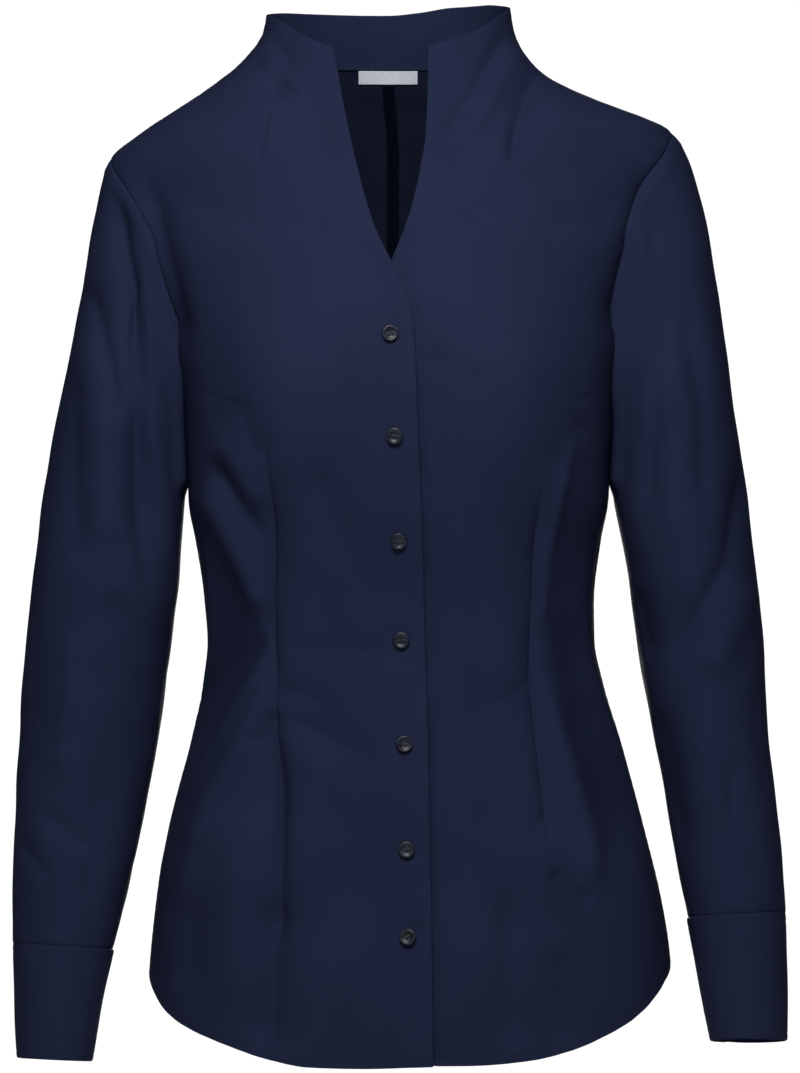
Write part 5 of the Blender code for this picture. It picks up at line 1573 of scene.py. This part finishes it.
def button_up(hole_name, name, node_name, spot, up, out, spin, tilt=(0.0, 0.0)):
    """A buttonhole with its button over it, sewn on."""
    carried(make_buttonhole(hole_name, spot, up, out), "navy_cloth")
    made, threads, stems = make_button(name, spot + out * BUTTON_LIFT, out, spin, tilt)
    carried(made, "button_horn", node_name)
    carried(threads, "navy_cloth")
    carried(stems, "navy_cloth")


def make_arm(side, shoulder, table, cuff_table, creases, word, seed):
    """A sleeve with its cuff, placket and cuff buttons."""
    sleeve = make_sleeve(f"sleeve_{word}_cloth", side, shoulder, table, creases, seed)
    cloth(sleeve, "sleeve", "navy_cloth", f"sleeve_{word}", on=[f"front_{word}"])
    on = [f"sleeve_{word}"]
    cuff, cuff_stitches, surface = make_cuff(f"cuff_{word}_band", cuff_table)
    cloth(cuff, "cuff", "navy_cloth", f"cuff_{word}", on=on, held="folded")
    carried(cuff_stitches, "navy_cloth")
    placket, placket_stitches = make_placket(f"placket_{word}_strip", table)
    cloth(placket, "placket", "navy_cloth", f"sleeve_placket_{word}", on=on, held="folded")
    carried(placket_stitches, "navy_cloth")
    outer, out, turns, down, length = surface
    column = int(np.argmin(np.abs(np.degrees(turns) - CUFF_BUTTON_TURN)))
    for number, share in enumerate(CUFF_BUTTON_SHARES, start=1):
        row = int(np.argmin(np.abs(down / length - share)))
        spot, away = outer[row, column], out[row, column]
        along = unit(np.cross(unit(outer[row + 3, column] - outer[row - 3, column]), away))
        names = f"cuff_{word}_hole_{number}", f"cuff_button_{word}_{number}"
        button_up(*names, f"button_cuff_{word}_{number}", spot, along, away, 8 * number)


def make_front_buttons():
    """The seven front buttons, each on its place inside the upper edge."""
    heights = zip(BUTTON_HEIGHTS, BUTTON_TURNS, BUTTON_TILTS)
    for number, (height, spin, tilt) in enumerate(heights, start=1):
        z = np.array([height])
        turn = turn_at_x(read(FRONT_EDGES, "upper", z) - BUTTON_INSET, z)
        spot, out = body(turn, z)[0], body_normal(turn, z)[0]
        above = unit(body(turn, z + 2)[0] - body(turn, z - 2)[0])
        names = f"front_hole_{number}", f"front_button_{number}", f"button_front_{number}"
        button_up(*names, spot, above, out, spin, tilt)


# ---- camera, light and floor -------------------------------------------------------------------
KEY_BOX = {"place": (-0.04, -1.35, 0.68), "aim": (0, 0, -0.20), "size": (0.7, 0.5), "power": 112}
BEHIND_BOX = {"place": (0.0, 3.2, 0.0), "aim": (0, 0, -0.33), "size": (1.4, 1.4), "power": 120}
FLOOR_RADIUS = 3.0  # metres, as all lengths in this section
FLOOR_HEIGHT = -1.02
SURROUND = (0.28, 1.05)  # how bright the surround is in front and straight behind
VIEW_DISTANCE = 3.35
VIEW_HEIGHT = -0.326
LENS = 220.07  # mm of focal length over a sensor 36 mm wide


def soft_box(name, place, aim, size, power):
    """A square soft box that faces a point."""
    lamp = bpy.data.lights.new(name, "AREA")
    lamp.shape = "RECTANGLE"
    lamp.size, lamp.size_y = size
    lamp.energy = power
    made = bpy.data.objects.new(name, lamp)
    made.location = place
    away = np.array(aim, float) - np.array(place, float)
    yaw = math.atan2(away[0], -away[1])
    pitch = math.atan2(np.hypot(away[0], away[1]), -away[2])
    made.rotation_euler = (pitch, 0.0, yaw + math.pi)
    made.visible_camera = False
    bpy.context.scene.collection.objects.link(made)


def make_floor():
    """A pale round floor below the hanging blouse."""
    disc = bpy.data.meshes.new("floor")
    turn = np.linspace(0, 2 * math.pi, 96, endpoint=False)
    x, y = FLOOR_RADIUS * np.cos(turn), FLOOR_RADIUS * np.sin(turn)
    points = np.stack([x, y, 0 * turn + FLOOR_HEIGHT], axis=1)
    disc.from_pydata(points.tolist(), [], [list(range(96))])
    floor = bpy.data.objects.new("floor", disc)
    bpy.context.scene.collection.objects.link(floor)
    pale, tree, shader = finish_base("pale_floor", 0.8, 0.2)
    place = node(tree, "ShaderNodeTexCoord", (-700, 0)).outputs["Object"]
    grain = node(tree, "ShaderNodeTexNoise", (-500, 0), Scale=3.0, Detail=3.0)
    tree.links.new(place, grain.inputs["Vector"])
    dark, light = (0.86, 0.86, 0.87), (0.90, 0.90, 0.91)
    tint(tree, (-260, 0), grain.outputs["Fac"], shader["Base Color"], dark, light)
    disc.materials.append(pale)


def make_studio():
    """The floor, a pale surround that brightens straight behind, and two soft boxes."""
    make_floor()
    world = bpy.data.worlds.new("studio")
    bpy.context.scene.world = world
    world.use_nodes = True
    tree = world.node_tree
    surround = tree.nodes["Background"].inputs
    surround["Color"].default_value = (1.0, 1.0, 1.0, 1.0)
    way = node(tree, "ShaderNodeTexCoord", (-900, 0)).outputs["Generated"]
    split = node(tree, "ShaderNodeSeparateXYZ", (-700, 0))
    tree.links.new(way, split.inputs["Vector"])
    soft = {"interpolation_type": "SMOOTHSTEP"}
    back = split.outputs["Y"]
    carry_over(tree, (-450, 0), back, surround["Strength"], (0.93, 0.985), SURROUND, **soft)
    soft_box("key", **KEY_BOX)
    soft_box("behind", **BEHIND_BOX)


def make_camera():
    """The photograph's view: level, from the front, long lens."""
    lens = bpy.data.cameras.new("view")
    lens.sensor_fit = "HORIZONTAL"
    lens.sensor_width = 36.0
    lens.lens = LENS
    lens.clip_start, lens.clip_end = 0.05, 60.0
    made = bpy.data.objects.new("view", lens)
    made.location = (0.0, -VIEW_DISTANCE, VIEW_HEIGHT)
    made.rotation_euler = (math.pi / 2, 0.0, 0.0)
    bpy.context.scene.collection.objects.link(made)
    bpy.context.scene.camera = made


make_camera()
make_body()
make_neck()
make_arm(-1, RIGHT_SHOULDER, RIGHT_SLEEVE, RIGHT_CUFF, RIGHT_SLEEVE_CREASES, "right", 71)
make_arm(1, LEFT_SHOULDER, LEFT_SLEEVE, LEFT_CUFF, LEFT_SLEEVE_CREASES, "left", 83)
make_front_buttons()
make_studio()
bpy.context.scene.view_settings.view_transform = "Standard"

bpy.context.view_layer.update()
